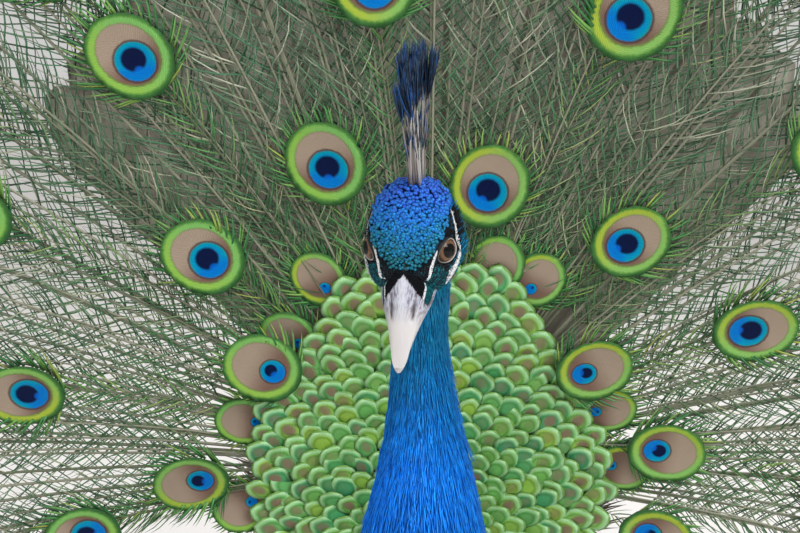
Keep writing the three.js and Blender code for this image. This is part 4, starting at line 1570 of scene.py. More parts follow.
def add_secondaries(sign, coverts, rng):
    """The long barred feathers along a folded wing's lower edge."""
    shape = closed_vane(12, 4)
    count = LONG_FEATHERS
    u = np.arange(count) / (count - 1)
    root = np.stack((sign * (0.112 + 0.006 * u), 0.03 + 0.012 * u + SHIFT, 0.375 - 0.062 * u), -1)
    angle = np.radians(17 + 16 * u)
    lie = np.stack((sign * (0.02 + 0.03 * u), np.cos(angle), -np.sin(angle)), -1)
    lie = unit(lie)
    face = flat_on(unit(np.stack((np.full(count, sign * 1.0), 0.1 * u, 0.25 + 0 * u), -1)), lie)
    long = 0.175 + 0.02 * np.sin(math.pi * u)
    made = vane_points(shape, root, lie, face, long, np.full(count, 0.034), blade, 0.0012, 0.02, 0.05, 0.15)
    patch = np.stack((0.5 + sign * (0.1 + 0.35 * u), np.full(count, 0.06)), -1)
    coverts.add(shape, made, patch, 0.04, tint=rng.uniform(0, 1, count), place=np.ones(count))


def add_primaries(sign, flights, rng):
    """The chestnut flight feathers, folded under the secondaries."""
    shape = closed_vane(12, 4)
    count = LONG_FEATHERS
    u = np.arange(count) / (count - 1)
    root = np.stack((sign * (0.103 + 0.004 * u), 0.062 + 0.018 * u + SHIFT, 0.345 - 0.04 * u), -1)
    angle = np.radians(31 + 17 * u)
    lie = unit(np.stack((sign * (0.07 + 0.03 * u), np.cos(angle), -np.sin(angle)), -1))
    face = np.stack((np.full(count, sign * 1.0), 0 * u, 0 * u), -1)
    face = flat_on(face, lie)
    long = 0.262 - 0.05 * u - 0.012 * (1 - u) ** 2
    made = vane_points(shape, root, lie, face, long, np.full(count, 0.03), blade, 0.0014, 0.0, 0.07, 0.2)
    patch = np.stack((0.1 + 0.8 * u, np.full(count, 0.5 + sign * 0.2)), -1)
    flights.add(shape, made, patch, 0.08, tint=rng.uniform(0, 1, count))


class PEACOCK_OT_wings(bpy.types.Operator):
    """Folds the wings: barred coverts and secondaries, and chestnut flight feathers"""

    bl_idname = "peacock.wings"
    bl_label = "Wings"

    def execute(self, context):
        rng = chance(6)
        coverts, flights = Coat(), Coat()
        for side, sign in SIDES:
            add_coverts(side, sign, coverts, rng)
            add_secondaries(sign, coverts, rng)
            add_primaries(sign, flights, rng)
        coverts.build("wing_feathers", barred_finish("wing_feathers", colours("buff"), 3.2), "wing")
        finish = Finish("flight_feathers", roughness=0.5)
        along, across, tint = finish.attributes("along", "across", "tint")
        colour = finish.mix(tint, colours("chestnut"), tuple(c * 0.7 for c in colours("chestnut")))
        colour = finish.mix(along.between(0.7, 1.0) * 0.6, colour, (0.07, 0.035, 0.02))
        colour = finish.mix(across.size().between(0.1, 0.04), colour, (0.5, 0.34, 0.2))
        finish.paint(colour)
        finish.bump(finish.noise(800.0, 2.0), 0.0004, 0.5)
        flights.build("flight_feathers", finish, "flight", ["primaries_left", "primaries_right"])
        return {"FINISHED"}


TOES = ("middle", "inner", "outer", "hind")
ANKLE_Y = 0.0343
SCUTE_SPACING, TOE_RING_SPACING = 0.0046, 0.0052


def add_thigh_tufts(side, sign, tufts, rng):
    """Pointed buff tufts that hang down a thigh."""
    shape = closed_vane(4, 2)
    low, high = (np.array(corner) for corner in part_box("thigh_" + side))
    points, facing = limb_roots("thigh_" + side, 0.0056, rng)
    axis = unit(np.array((0, 0.048, -0.094)))
    down = np.clip((high[2] - points[:, 2]) / (high[2] - low[2]), 0, 1)
    lie = unit(axis + np.array((0, 0.1, -0.35)))
    lie = unit(lie - (facing @ lie)[:, None] * facing)
    n = len(points)
    size = np.interp(down, (0, 1), (0.021, 0.012)) * rng.uniform(0.85, 1.15, n)
    made = vane_points(shape, points, lie, facing, size, size * 0.55, lance, 0.0008, 0.22, 0.1, 0.2)
    patch = np.stack((0.5 + sign * (0.05 + 4 * (points[:, 1] - low[1])), 0.1 + 0.6 * down), -1)
    tufts.add(shape, made, patch, tint=rng.uniform(0, 1, n))


def add_claws(side, sign, claws):
    """The four curved claws of a foot, and the spur of its leg."""
    for toe in TOES:
        low, high = (np.array(corner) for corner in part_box("claw_%s_%s" % (side, toe)))
        ankle = np.array((sign * 0.063, ANKLE_Y, 0))
        middle = (low + high) / 2
        way = unit((middle - ankle) * (1, 1, 0))
        reach = np.linalg.norm((high - low)[:2])
        s = np.linspace(0, 1, 9)
        path = middle * (1, 1, 0) + way * ((s - 0.56) * reach * 0.98)[:, None]
        height = 0.0054 + 0.001 * np.sin(math.pi * s) - 0.0044 * s**2
        path = path + np.array((0, 0, 1.0)) * height[:, None]
        horn = closed_tube(8, 10)
        taper = np.sqrt(np.clip(1 - s**1.6, 0, 1))
        points = tube_points(horn, path[None], np.array(((0, 0, 1.0),))[None], [0.0054], taper, 1.05)
        claws.add(horn, points, np.array([middle[:2] * 3 + 0.5]))
    s = np.linspace(0, 1, 8)
    foot, way, bend = (sign * 0.0595, 0.052, 0.062), (-sign * 0.001, 0.019, 0.002), (0, 0, 0.0025)
    spur = np.array(foot) + np.outer(s, way) + np.outer(s**2, bend)
    horn = closed_tube(7, 10)
    taper = np.sqrt(np.clip(1 - s**1.5, 0, 1))
    points = tube_points(horn, spur[None], np.array(((0, 0, 1.0),))[None], [0.0068], taper)
    claws.add(horn, points, np.array([(0.5 + sign * 0.4, 0.9)]))


def leg_finish():
    """Small grey-brown scales with dark grooves."""
    finish = Finish("leg", roughness=0.55)
    place = finish.node("ShaderNodeTexCoord", output=3)
    stretched = finish.node("ShaderNodeMapping", sockets={"Vector": place, "Scale": (1.0, 1.0, 0.7)})
    cells = finish.node(
        "ShaderNodeTexVoronoi", {"feature": "DISTANCE_TO_EDGE"}, {"Vector": stretched, "Scale": 330.0}
    )
    grooves = cells.between(0.0, 0.12)
    tone = finish.mix(finish.noise(60.0, 3.0), (0.2, 0.165, 0.14), (0.33, 0.29, 0.25))
    finish.paint(finish.mix(grooves, (0.07, 0.055, 0.045), tone))
    finish.bump(grooves, 0.0006, 0.8)
    return finish


def build_leg(side, finish):
    """The shank and foot in one skin, with raised scutes down the front and rings along the toes."""
    mesh = remeshed("leg_" + side, ["shank_" + side, "foot_" + side], 0.0003, 0.0013, 6)
    points, facing = points_of(mesh), normals_of(mesh)
    shank = smooth(0.022, 0.03, points[:, 2])
    scute = np.abs(((points[:, 2] / SCUTE_SPACING) % 1) - 0.5) * 2
    front = smooth(0.0, 0.6, -facing[:, 1])
    ridge = (1 - np.clip(scute - 0.72, 0, 1) / 0.28) * shank * front
    ankle = np.array((points[:, 0].mean(), ANKLE_Y))
    reach = np.linalg.norm(points[:, :2] - ankle, axis=1)
    ring = np.abs(((reach / TOE_RING_SPACING) % 1) - 0.5) * 2
    toe = (1 - np.clip(ring - 0.7, 0, 1) / 0.3) * (1 - shank) * smooth(0.2, 0.8, facing[:, 2])
    points = points + facing * (0.00045 * (ridge + toe))[:, None]
    points[:, 2] = np.maximum(points[:, 2], 0)
    move_points(mesh, points)
    add_piece("leg_" + side, mesh, finish, ["shank_" + side, "foot_" + side])


class PEACOCK_OT_legs(bpy.types.Operator):
    """Covers the thighs in buff tufts, and shapes the scaly legs, spurs and claws"""

    bl_idname = "peacock.legs"
    bl_label = "Legs"

    def execute(self, context):
        rng = chance(7)
        tufts, claws = Coat(), Coat()
        for side, sign in SIDES:
            add_thigh_tufts(side, sign, tufts, rng)
            add_claws(side, sign, claws)
        buff = tuple(0.85 * c for c in colours("buff"))
        tufts.build("thigh_feathers", barred_finish("thigh_feathers", buff, 2.2), "thigh")
        horn = Finish("claws", roughness=0.3)
        horn.paint(horn.attribute("along").ramp((0.0, (0.09, 0.075, 0.065)), (1.0, (0.03, 0.025, 0.022))))
        claws.build("claws", horn, "claw", ["claw_%s_%s" % (side, toe) for side, _ in SIDES for toe in TOES])

        scaly = leg_finish()
        for side, _ in SIDES:
            build_leg(side, scaly)
        return {"FINISHED"}


# Feathers of the true tail, and places where three tufts of down each grow.
TAIL_FEATHERS, DOWN_TUFTS = 20, 1700


def build_tail_feathers(rng):
    """The true tail, spread behind the train."""
    shape = closed_vane(14, 4)
    count = TAIL_FEATHERS
    angle = np.radians(np.linspace(-41, 41, count))
    root = turned(angle) * 0.055
    length = 0.337 - 0.04 * (angle / 0.77) ** 2
    s, c, under = shape["along"], shape["across"], shape["under"]
    layer = -0.0245 - 0.0012 * (np.arange(count) % 2) - 0.0018 * np.abs(np.linspace(-1, 1, count))
    half = 0.029 * blade(s)
    flat = (
        root[:, None]
        + turned(angle)[:, None] * (length[:, None] * s)[..., None]
        + turned(angle + math.pi / 2)[:, None] * (half * c)[None, :, None]
    )
    body = 0.0012 * (1 - c * c) * (0.5 - under) + 0.0015 * np.sin(c * 2.2)
    points = fan_points(flat, layer[:, None] + body[None])
    coat = Coat()
    patch = np.stack((0.5 + np.sin(angle) * 0.42, 0.1 + np.cos(angle) * 0.7), -1)
    coat.add(shape, points, patch, 0.045, tint=rng.uniform(0, 1, count))
    finish = barred_finish("tail_feathers", (0.54, 0.5, 0.43), 9.0, 0.6, (0.42, 0.38, 0.31))
    coat.build("tail_feathers", finish, "tail", ["tail_left", "tail_right"])


def build_down(rng):
    """Grey down that covers the foot of the tail from behind."""
    down = Coat()
    tuft = closed_tube(3, 3)
    total = DOWN_TUFTS
    angle = rng.uniform(-math.pi, math.pi, total)
    radius = 0.118 * np.sqrt(rng.uniform(0, 1, total))
    flat = turned(angle) * radius[:, None]
    flat[:, 1] -= 0.012
    depth = -0.012 - 0.026 * np.sqrt(np.clip(1 - (radius / 0.125) ** 2, 0, 1))
    origin = fan_points(flat, depth)
    flow = unit(flat - (0, -0.17))
    way = flow[:, :1] * FAN_SIDE + flow[:, 1:] * FAN_UP - FAN_OUT * 0.3
    way = unit(way + rng.normal(0, 0.16, (total, 3)))
    for _ in range(3):
        spread = unit(way + rng.normal(0, 0.25, way.shape))
        size = rng.uniform(0.026, 0.042, total)
        s = np.linspace(0, 1, 4)[None, :, None]
        path = origin[:, None] + size[:, None, None] * (spread[:, None] * s + FAN_OUT * 0.25 * s * s)
        facing, width = np.broadcast_to(-FAN_OUT, (total, 1, 3)), rng.uniform(0.0016, 0.003, total)
        made = tube_points(tuft, path, facing, width, np.array((0.7, 1, 0.6, 0)), 0.5)
        down.add(tuft, made, flat * 3.2 + 0.5, tint=rng.uniform(0, 1, total), along=tuft["along"][None])
    finish = Finish("down", roughness=0.8)
    colour = finish.attribute("tint").ramp(
        (0.0, (0.1, 0.085, 0.072)), (0.6, (0.28, 0.24, 0.2)), (1.0, (0.55, 0.5, 0.45))
    )
    finish.paint(colour)
    down.build("undertail_down", finish, "scales")


class PEACOCK_OT_tail(bpy.types.Operator):
    """Spreads the true tail and the downy coverts behind the train"""

    bl_idname = "peacock.tail"
    bl_label = "Tail"

    def execute(self, context):
        rng = chance(8)
        build_tail_feathers(rng)
        build_down(rng)
        return {"FINISHED"}


class PEACOCK_OT_shield(bpy.types.Operator):
    """Tiles the gold-green scale feathers at the foot of the train"""

    bl_idname = "peacock.shield"
    bl_label = "Shield"

    def execute(self, context):
        rng = chance(9)
        wide = sizes().scale
        focus = np.array((0, -0.085))
        shape = closed_vane(7, 6)
        places, ways = [], []
        for row, radius in enumerate(np.arange(0.045, 0.25, 0.0096)):
            spacing = wide * np.interp(radius, (0.05, 0.25), (0.72, 0.9))
            count = int(2 * math.radians(112) * radius / spacing)
            angle = (np.arange(count + 1) - count / 2 + 0.5 * (row % 2)) * spacing / radius
            angle = angle + rng.normal(0, 0.06, count + 1) * spacing / radius
            places.append(focus + turned(angle) * (radius + rng.normal(0, 0.0013, count + 1))[:, None])
            ways.append(angle)
        flat, angle = np.concatenate(places), np.concatenate(ways)
        reach = np.linalg.norm(flat, axis=1)
        bearing = np.arctan2(flat[:, 0], flat[:, 1])
        crest = np.exp(-((np.abs(bearing) / SHIELD_ROUND) ** 2.6))
        edge = SHIELD_SIDE + (SHIELD_TOP - SHIELD_SIDE) * crest + 0.003 * np.sin(bearing * 9)
        keep = (reach < edge) & (flat[:, 1] > -0.085)
        flat, angle, reach, edge = flat[keep], angle[keep], reach[keep], edge[keep]
        n = len(flat)
        share = reach / edge
        angle = angle + rng.normal(0, 0.07, n)
        length = wide * np.interp(share, (0, 1), (1.2, 1.6)) * rng.uniform(0.9, 1.1, n)
        width = wide * np.interp(share, (0, 1), (0.9, 1.2)) * rng.uniform(0.88, 1.14, n)
        s, c, under = shape["along"], shape["across"], shape["under"]
        outline = rounded(s)
        spread = flat[:, None] + turned(angle)[:, None] * (length[:, None] * (s - 0.45))[..., None]
        aside = width[:, None] / 2 * (outline * c)[None]
        spread = spread + turned(angle + math.pi / 2)[:, None] * aside[..., None]
        base = 0.0062 + 0.005 * (1 - np.linalg.norm(flat - focus, axis=1) / 0.25)
        tip_up = rng.uniform(0.003, 0.0068, n)[:, None] * s
        lift = base[:, None] + tip_up - (
            0.0012 * c * c * outline
        )[None] + 0.0008 * (0.5 - under) * (1 - c * c)
        points = fan_points(spread, lift + rng.normal(0, 0.0009, n)[:, None] * c)
        coat = Coat()
        patch = flat * 3.0 + 0.5
        spots = np.clip(0.2 + 0.75 * smooth(0.55, 0.95, share) + rng.normal(0, 0.3, n), 0, 0.95)
        coat.add(shape, points, patch, 0.022, tint=rng.uniform(0, 1, n), place=spots)
        coat.build("shield_scales", scale_finish("shield_scales"), "scales", ["train_shield"])
        return {"FINISHED"}


# Radius in millimetres and number of eyespots in each outer ring, and the same for the fishtails.
OUTER_RINGS = ((455, 12), (555, 16), (655, 19), (755, 22), (850, 25), (938, 28))
FISHTAILS = (1012, 33)
# How high the young eyes lie over the fan, in metres, and the kinds of feather.
YOUNG_LIFT = 0.001
EYE, YOUNG, FISHTAIL = 1, 2, 0


def train_plan():
    """Every train feather: where its eye lies, which way it points, how high it lies and its kind."""
    rng = chance(10)
    rows = [(angle, radius, EYE) for radius, angles in EYE_ROWS for angle in angles]
    for k, (radius, count) in enumerate(OUTER_RINGS):
        ends = 105 - 1.5 * (k % 2)
        for angle in np.linspace(-ends, ends, count):
            rows.append((angle + rng.normal(0, 1.1), radius + rng.normal(0, 13), EYE))
    rows += [(angle, radius, YOUNG) for radius, angles in YOUNG_ROWS for angle in angles]
    radius, count = FISHTAILS
    for angle in np.linspace(-104, 104, count):
        rows.append((angle + rng.normal(0, 0.8), radius + rng.normal(0, 9), FISHTAIL))
    angle, radius, kind = (np.array(column, float) for column in zip(*rows))
    angle, radius = np.radians(angle), radius / 1000
    tip = turned(angle) * radius[:, None]
    sideways = np.sin(np.clip(angle, -math.pi / 2, math.pi / 2))
    heading = angle + np.radians(17) * sideways * np.interp(radius, (0.1, 0.4, 1), (0.9, 1, 0.45))
    root = turned(angle * 0.86) * 0.04
    bend = tip - turned(heading) * (np.linalg.norm(tip - root, axis=1) * 0.5)[:, None]
    lift = np.interp(radius, (0.14, 0.16, 0.4, 1.02), (0.0105, 0.0062, 0.0045, 0.0012))
    lift = np.where(kind == YOUNG, YOUNG_LIFT, lift) + rng.uniform(-0.0008, 0.0008, len(radius))
    return {
        "tip": tip, "root": root, "bend": bend, "heading": heading,
        "lift": lift, "kind": kind, "radius": radius, "angle": angle,
    }


def quill(plan, s):
    """Points and headings along each feather's shaft, at shares for all (k) or for each feather (n, k)."""
    root, bend, tip = (plan[key][:, None] for key in ("root", "bend", "tip"))
    s = np.atleast_2d(s)[..., None]
    place = (1 - s) ** 2 * root + 2 * s * (1 - s) * bend + s * s * tip
    way = 2 * (1 - s) * (bend - root) + 2 * s * (tip - bend)
    return place, np.arctan2(way[..., 0], way[..., 1])


def eye_size(plan):
    """Widths of the eyespots, which grow outwards."""
    grown = np.interp(plan["radius"], (0.12, 0.25, 0.45, 1), (0.88, 0.98, 1.12, 1.16))
    return sizes().eyespot * grown * np.where(plan["kind"] == YOUNG, 0.8, 1)


def bent_lines(foot, turns, length):
    """Lines (n, steps + 1, 2) on the fan that start at each foot and follow its turns."""
    steps = turns.shape[1] - 1
    legs = turned((turns[:, 1:] + turns[:, :-1]) / 2) * (length / steps)[:, None, None]
    return foot[:, None] + np.concatenate((np.zeros((len(foot), 1, 2)), np.cumsum(legs, axis=1)), 1)


def fan_patch(place, reach):
    """Bake patches by bearing and distance from the fan's centre."""
    return np.stack((0.5 + np.arctan2(place[:, 0], place[:, 1]) / 4.2, np.clip(reach * 0.9, 0, 1)), -1)


# An eye's vane is this much taller than wide and wider than its markings; the bake map has 13 by 13 cells.
EYE_TALL, EYE_MARGIN, EYE_CELLS = 1.2, 1.07, 13


class PEACOCK_OT_train_eyes(bpy.types.Operator):
    """Builds the eyespots at the ends of the train feathers"""

    bl_idname = "peacock.train_eyes"
    bl_label = "Train eyes"

    def execute(self, context):
        rng = chance(11)
        plan = train_plan()
        plan = some(plan, plan["kind"] != FISHTAIL)
        n = len(plan["tip"])
        shape = closed_vane(15, 12, walls=True)
        size = eye_size(plan) * rng.uniform(0.95, 1.05, n)
        half_size = size[:, None] / 2 * EYE_MARGIN
        s, c, under = shape["along"], shape["across"], shape["under"]
        y = 2 * s - 1
        half = np.sqrt(np.clip(1 - np.abs(y) ** 2.3, 0.015, 1))
        x = half * c * (1 + 0.03 * (np.abs(c) > 0.99) * rng.choice((-1, 1), len(c)))
        ahead, sideways = turned(plan["heading"]), turned(plan["heading"] + math.pi / 2)
        flat = plan["tip"][:, None] + ahead[:, None] * (half_size * EYE_TALL * y[None])[..., None]
        flat = flat + sideways[:, None] * (half_size * x[None])[..., None]
        young = plan["kind"] == YOUNG
        cup = (np.where(young, 0.0007, 0.0022))[:, None] * (x * x + y * y)
        twist = rng.normal(0, 0.05, n)[:, None] * (size[:, None] * x[None])
        lift = plan["lift"][:, None] + 0.0045 + cup + twist + 0.0004 * (0.5 - under)[None]
        points = fan_points(flat, lift)
        coat = Coat()
        column, row = np.arange(n) % EYE_CELLS, np.arange(n) // EYE_CELLS
        patch = np.stack(((column + 0.5) / EYE_CELLS, (row + 0.5) / EYE_CELLS), -1)
        youth = np.where(young, 0.92, smooth(0.22, 0.13, plan["radius"]) * 0.5)
        marks = {"along": (y * EYE_MARGIN * EYE_TALL)[None], "across": (x * EYE_MARGIN)[None]}
        coat.add(shape, points, patch, 0.072, tint=rng.uniform(0, 1, n), place=youth, **marks)
        finish = Finish("train_eyes", roughness=0.45, specular_ior_level=0.08, metallic=0.15)
        y, x = finish.attributes("along", "across")
        young, tint, back = finish.attributes("place", "tint", "under")
        ragged = (finish.noise(420.0, 2.0) - 0.5) * 0.07

        def disc(centre, wide, high):
            return (((y - centre) / high) ** 2.0 + (x / wide) ** 2.0) ** 0.5 + ragged

        outer = disc(0.04, 1.0, 1.16)
        green = finish.mix(outer.between(0.98, 1.1), (0.09, 0.26, 0.05), (0.04, 0.13, 0.04))
        ring = finish.mix(tint.between(0.2, 0.8), colours("eyespot_ring"), (0.4, 0.52, 0.06))
        ring = finish.mix(x.between(-0.6, 0.6) * 0.7, ring, (0.2, 0.52, 0.16))
        colour = finish.mix(outer.between(1.03, 0.93), green, ring)
        colour = finish.mix(outer.between(0.86, 0.78), colour, (0.16, 0.24, 0.06))
        bronze = disc(0.06, 0.79, 0.92)
        tone = finish.mix(y.between(-0.5, 0.5), (0.2, 0.12, 0.09), colours("eyespot_bronze"))
        colour = finish.mix(bronze.between(1.05, 0.94), colour, tone)
        shrink = 1.0 - young * 0.62
        blue = disc(-0.2 - young * 0.3, 0.54 * shrink, 0.57 * shrink)
        colour = finish.mix(blue.between(1.16, 1.04) * 0.85, colour, (0.07, 0.04, 0.04))
        bright = finish.mix(blue.between(0.98, 0.7), (0.0, 0.33, 0.44), colours("eyespot_blue"))
        bright = finish.mix((y + x * 0.5).between(-0.2, -0.55) * 0.7, bright, (0.0, 0.15, 0.66))
        colour = finish.mix(blue.between(1.04, 0.93), colour, bright)
        inner = 1.0 - young * 0.85
        heart = disc(-0.13 - young * 0.3, 0.35 * inner, 0.35 * inner)
        notch = (((y + 0.52) / 0.2) ** 2.0 + ((x + 0.1) / 0.17) ** 2.0) ** 0.5
        royal = finish.mix(notch.between(1.15, 0.6), colours("eyespot_heart"), (0.0, 0.12, 0.6))
        colour = finish.mix(heart.between(1.12, 0.84), colour, royal)
        comb = (y - x.size() * 1.15 + ragged * 2.0) * 95.0
        threads = comb.maths("SINE", comb) * 0.5 + 0.5
        colour = finish.times(colour, finish.mix(threads, (0.84, 0.84, 0.84), (1.08, 1.08, 1.08)))
        behind = back * 0.88
        reverse = finish.mix(blue.between(1.05, 0.95), (0.13, 0.11, 0.09), (0.05, 0.045, 0.045))
        finish.paint(finish.mix(behind, colour, reverse))
        finish.bump(threads, 0.0003, 0.4)
        coat.build("train_eyes", finish, "train")
        return {"FINISHED"}


# Where a loose barb bends, from its foot (0) to its tip (1), and the most triangles for a piece of barbs.
BARB_STEPS = np.linspace(0, 1, 4)
PIECE_TRIANGLES = 190000


def barb_finish():
    """Loose bronze-green barbs, greener towards the eyes, with brown undersides."""
    finish = Finish("train_barbs", roughness=0.4, specular_ior_level=0.4, metallic=0.15)
    place, tint = finish.attributes("place", "tint")
    dull = tint.ramp(
        (0.0, (0.028, 0.075, 0.04)), (0.35, (0.13, 0.21, 0.14)), (0.6, (0.075, 0.22, 0.12)),
        (0.85, (0.28, 0.34, 0.25)), (1.0, (0.6, 0.6, 0.5)),
    )
    green = tint.ramp(
        (0.0, (0.03, 0.17, 0.06)), (0.5, (0.1, 0.33, 0.09)), (0.85, (0.24, 0.46, 0.1)),
        (1.0, (0.42, 0.5, 0.1)),
    )
    colour = finish.mix(place, dull, green)
    finish.paint(finish.mix(finish.attribute("under") * 0.85, colour, (0.2, 0.17, 0.13)))
    return finish


def build_shafts(plan, rng):
    """The shaft of every train feather, as one piece."""
    n, steps = len(plan["tip"]), 14
    place, _ = quill(plan, np.linspace(0, 1, steps + 1))
    shape = closed_tube(steps, 5)
    path = fan_points(place, plan["lift"][:, None] + 0.0003 + np.zeros(steps + 1))
    taper = np.append(np.linspace(1, 0.4, steps), 0)
    width = np.interp(plan["radius"], (0.12, 1), (0.0011, 0.0027))
    points = tube_points(shape, path, fan_facing(place), width, taper, 0.8)
    shafts = Coat()
    patch = np.stack((0.5 + plan["angle"] / 4.2, 0.2 + 0.5 * plan["radius"]), -1)
    shafts.add(shape, points, patch, tint=rng.uniform(0, 1, n))
    finish = Finish("train_shafts", roughness=0.4)
    along, tint = finish.attributes("along", "tint")
    pale = finish.mix(tint, (0.3, 0.3, 0.22), (0.13, 0.15, 0.09))
    pale = finish.mix(finish.attribute("under"), pale, (0.6, 0.56, 0.48))
    finish.paint(finish.mix(along.between(0.75, 1.0), pale, (0.2, 0.16, 0.07)))
    shafts.build("train_shafts", finish, "train")


def barb_feet(lengths, rng):
    """Each loose barb's feather, its place along the shaft (0 to 1) and its side of it."""
    gap = sizes().barb_spacing
    feather, where, side = [], [], []
    for k in range(len(lengths)):
        marks, at = [], min(0.112, 0.7 * lengths[k])
        while at < 0.985 * lengths[k]:
            marks.append(at / lengths[k])
            wide = np.interp(at, (0.1, 0.35, 0.6), (1.5, 1.25, 1.0))
            at += gap * min(wide, np.interp(lengths[k] - at, (0.02, 0.12), (0.5, wide)))
        marks = np.array(marks)
        for sign in (-1, 1):
            feather += [k] * len(marks)
            where += list(marks + rng.uniform(-0.35, 0.35, len(marks)) * gap / lengths[k])
            side += [sign] * len(marks)
    return np.array(feather), np.array(where), np.array(side, float)


def build_barbs(plan, finish, rng):
    """The loose barbs of every shaft, shared out over pieces that keep within the triangle limit."""
    lengths = np.linalg.norm(np.diff(quill(plan, np.linspace(0, 1, 40))[0], axis=1), axis=-1).sum(1)
    feather, where, side = barb_feet(lengths, rng)
    m = len(feather)
    foot, heading = quill(some(plan, feather), where[:, None])
    foot, heading = foot[:, 0], heading[:, 0]
    left = (1 - where) * lengths[feather]
    reach = np.linalg.norm(foot, axis=1)
    grown = np.interp(reach, (0.1, 0.25, 0.45, 0.7, 1), (0.45, 0.6, 0.85, 1.0, 0.9))
    length = sizes().barb_length * grown * rng.uniform(0.8, 1.15, m)
    length *= np.interp(left, (0, 0.03, 0.1), (0.62, 0.72, 1))
    open_angle = np.radians(np.interp(left, (0, 0.05, 0.2), (24, 40, 52)) + rng.normal(0, 5, m))
    close_angle = open_angle * rng.uniform(0.25, 0.6, m)
    opened = open_angle[:, None] + (close_angle - open_angle)[:, None] * BARB_STEPS[None]
    line = bent_lines(foot, heading[:, None] + side[:, None] * opened, length)
    base = plan["lift"][feather][:, None]
    rise = base + rng.normal(0, 0.0012, m)[:, None] * BARB_STEPS
    rise = rise + 0.0035 * rng.normal(0, 1, m)[:, None] * BARB_STEPS**2
    path = fan_points(line, np.clip(rise, base - 0.004, base + 0.0032))
    shape = closed_tube(len(BARB_STEPS) - 1, 3)
    width = sizes().barb_width * np.interp(reach, (0.1, 0.5), (0.66, 0.95)) * rng.uniform(0.7, 1.25, m)
    points = tube_points(shape, path, fan_facing(line), width, np.array((0.7, 1, 0.75, 0)), 0.35)
    greenness = np.interp(left, (0.0, 0.07, 0.16), (1.0, 0.75, 0.08))
    greenness = greenness + np.interp(reach, (0.12, 0.3), (0.5, 0.0))
    greenness = np.clip(greenness, 0, 1)
    patch = fan_patch(line[:, 1], reach)
    tint = rng.uniform(0, 1, m)
    parts = np.array_split(np.arange(m), max(1, math.ceil(m * len(shape["faces"]) / PIECE_TRIANGLES)))
    by_angle = np.argsort(np.arctan2(foot[:, 0], foot[:, 1]), kind="stable")
    for k, part in enumerate(parts):
        rows = by_angle[part]
        coat = Coat()
        coat.add(shape, points[rows], patch[rows], place=greenness[rows], tint=tint[rows])
        replaced = ["train_" + name for name in SECTORS] if k == 0 else ()
        coat.build("train_barbs_%d" % (k + 1), finish, "train", replaced)


def add_eye_fringe(coat, plan, rng):
    """The barbs that stand out round each eyespot."""
    plan, each = some(plan, plan["kind"] != FISHTAIL), 44
    size = eye_size(plan)[:, None]
    turn = (np.arange(each) + 0.5) / each * 2 * math.pi - math.pi
    turn = turn[None] + rng.normal(0, 0.04, (len(size), each))
    rim = np.stack((np.sin(turn) * size / 2 * 1.02, np.cos(turn) * size / 2 * EYE_TALL), -1)
    head = plan["heading"][:, None]
    across, ahead = turned(head + math.pi / 2), turned(head)
    foot = plan["tip"][:, None] + across * rim[..., :1] + ahead * rim[..., 1:]
    aim = np.clip(turn, -2.6, 2.6) * 0.55
    reach = size * np.interp(np.abs(turn), (0, 1.5, 2.4, 3.1), (0.42, 0.5, 0.62, 0.35))
    reach = reach * rng.uniform(0.75, 1.15, turn.shape)
    foot, aim, head, reach = foot.reshape(-1, 2), aim.ravel(), np.repeat(head.ravel(), each), reach.ravel()
    turns = head[:, None] + aim[:, None] - 0.25 * np.sign(aim)[:, None] * BARB_STEPS[None]
    line = bent_lines(foot - turned(head + aim) * 0.003, turns, reach)
    n = len(foot)
    level = np.repeat(plan["lift"], each)[:, None] + 0.0036 + rng.normal(0, 0.0012, n)[:, None] * BARB_STEPS
    path = fan_points(line, level)
    shape = closed_tube(len(BARB_STEPS) - 1, 3)
    width = rng.uniform(0.0014, 0.0026, n)
    points = tube_points(shape, path, fan_facing(line), width, np.array((1, 0.9, 0.6, 0)), 0.35)
    patch = fan_patch(foot, np.linalg.norm(foot, axis=1))
    coat.add(shape, points, patch, place=np.full(n, 1.0), tint=rng.uniform(0, 1, n))


def add_fishtails(coat, plan, rng):
    """The forked ends of the outermost feathers, which have no eyespot."""
    plan, each = some(plan, plan["kind"] == FISHTAIL), 40
    turn = np.linspace(-1, 1, each)[None] + 0 * plan["tip"][:, :1]
    head = plan["heading"][:, None]
    foot = plan["tip"][:, None] + turned(head) * (-0.05 + 0.06 * (1 - np.abs(turn)))[..., None]
    aim = turn * 0.75 + rng.normal(0, 0.05, turn.shape)
    reach = 0.052 * (0.45 + 0.55 * np.abs(turn)) * rng.uniform(0.8, 1.1, turn.shape)
    head = np.repeat(head.ravel(), each)
    turns = head[:, None] + aim.ravel()[:, None] * (1 - 0.55 * BARB_STEPS[None])
    foot = foot.reshape(-1, 2)
    n = len(foot)
    line = bent_lines(foot, turns, reach.ravel())
    path = fan_points(line, np.repeat(plan["lift"], each)[:, None] + 0 * BARB_STEPS)
    shape = closed_tube(len(BARB_STEPS) - 1, 3)
    points = tube_points(shape, path, fan_facing(line), np.full(n, 0.002), np.array((1, 1, 0.8, 0)), 0.35)
    patch = fan_patch(foot, np.linalg.norm(foot, axis=1))
    coat.add(shape, points, patch, place=np.full(n, 0.8), tint=rng.uniform(0, 1, n))


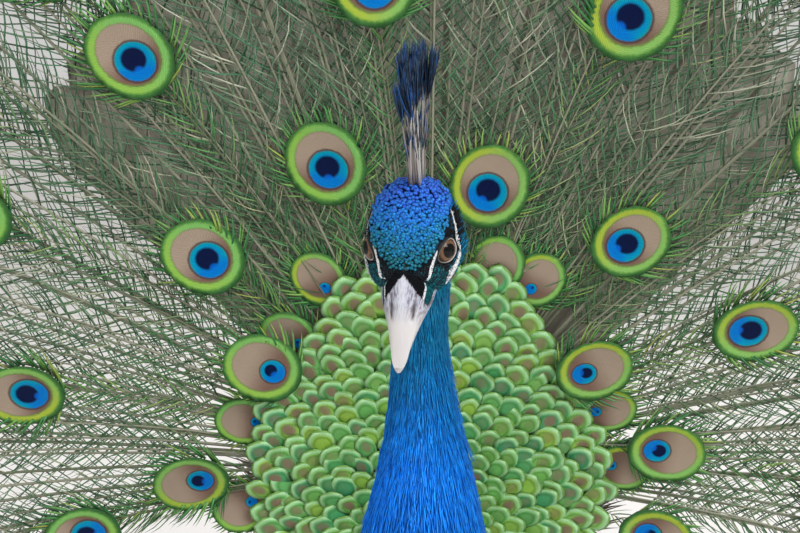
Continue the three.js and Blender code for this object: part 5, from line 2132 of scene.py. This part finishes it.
class PEACOCK_OT_train(bpy.types.Operator):
    """Builds the shafts and loose barbs of the train, and the fishtail ends"""

    bl_idname = "peacock.train"
    bl_label = "Train"

    def execute(self, context):
        rng = chance(12)
        plan = train_plan()
        build_shafts(plan, rng)
        finish = barb_finish()
        build_barbs(plan, finish, rng)
        fringe = Coat()
        add_eye_fringe(fringe, plan, rng)
        add_fishtails(fringe, plan, rng)
        fringe.build("train_fringe", finish, "train")
        return {"FINISHED"}


STEPS = (
    PEACOCK_OT_stage,
    PEACOCK_OT_skin,
    PEACOCK_OT_crown,
    PEACOCK_OT_bill,
    PEACOCK_OT_face,
    PEACOCK_OT_eyes,
    PEACOCK_OT_crest,
    PEACOCK_OT_neck,
    PEACOCK_OT_body,
    PEACOCK_OT_wings,
    PEACOCK_OT_legs,
    PEACOCK_OT_tail,
    PEACOCK_OT_shield,
    PEACOCK_OT_train_eyes,
    PEACOCK_OT_train,
)


class PEACOCK_PT_panel(bpy.types.Panel):
    """Lists the peacock's pieces, sizes and colours"""

    bl_idname = "PEACOCK_PT_panel"
    bl_label = "Peacock"
    bl_space_type = "VIEW_3D"
    bl_region_type = "UI"
    bl_category = "Peacock"

    def draw(self, context):
        column = self.layout.column()
        for step in STEPS:
            column.operator(step.bl_idname)
        for group in (context.scene.peacock_sizes, context.scene.peacock_colours):
            for key in group.__annotations__:
                column.prop(group, key)


CLASSES = (PeacockSizes, PeacockColours, *STEPS, PEACOCK_PT_panel)


def register():
    for cls in CLASSES:
        bpy.utils.register_class(cls)
    bpy.types.Scene.peacock_sizes = bpy.props.PointerProperty(type=PeacockSizes)
    bpy.types.Scene.peacock_colours = bpy.props.PointerProperty(type=PeacockColours)


def unregister():
    del bpy.types.Scene.peacock_sizes
    del bpy.types.Scene.peacock_colours
    for cls in reversed(CLASSES):
        bpy.utils.unregister_class(cls)


def main():
    register()
    for step in STEPS:
        group, name = step.bl_idname.split(".")
        getattr(getattr(bpy.ops, group), name)()
    bpy.context.view_layer.update()


if __name__ == "__main__":
    main()
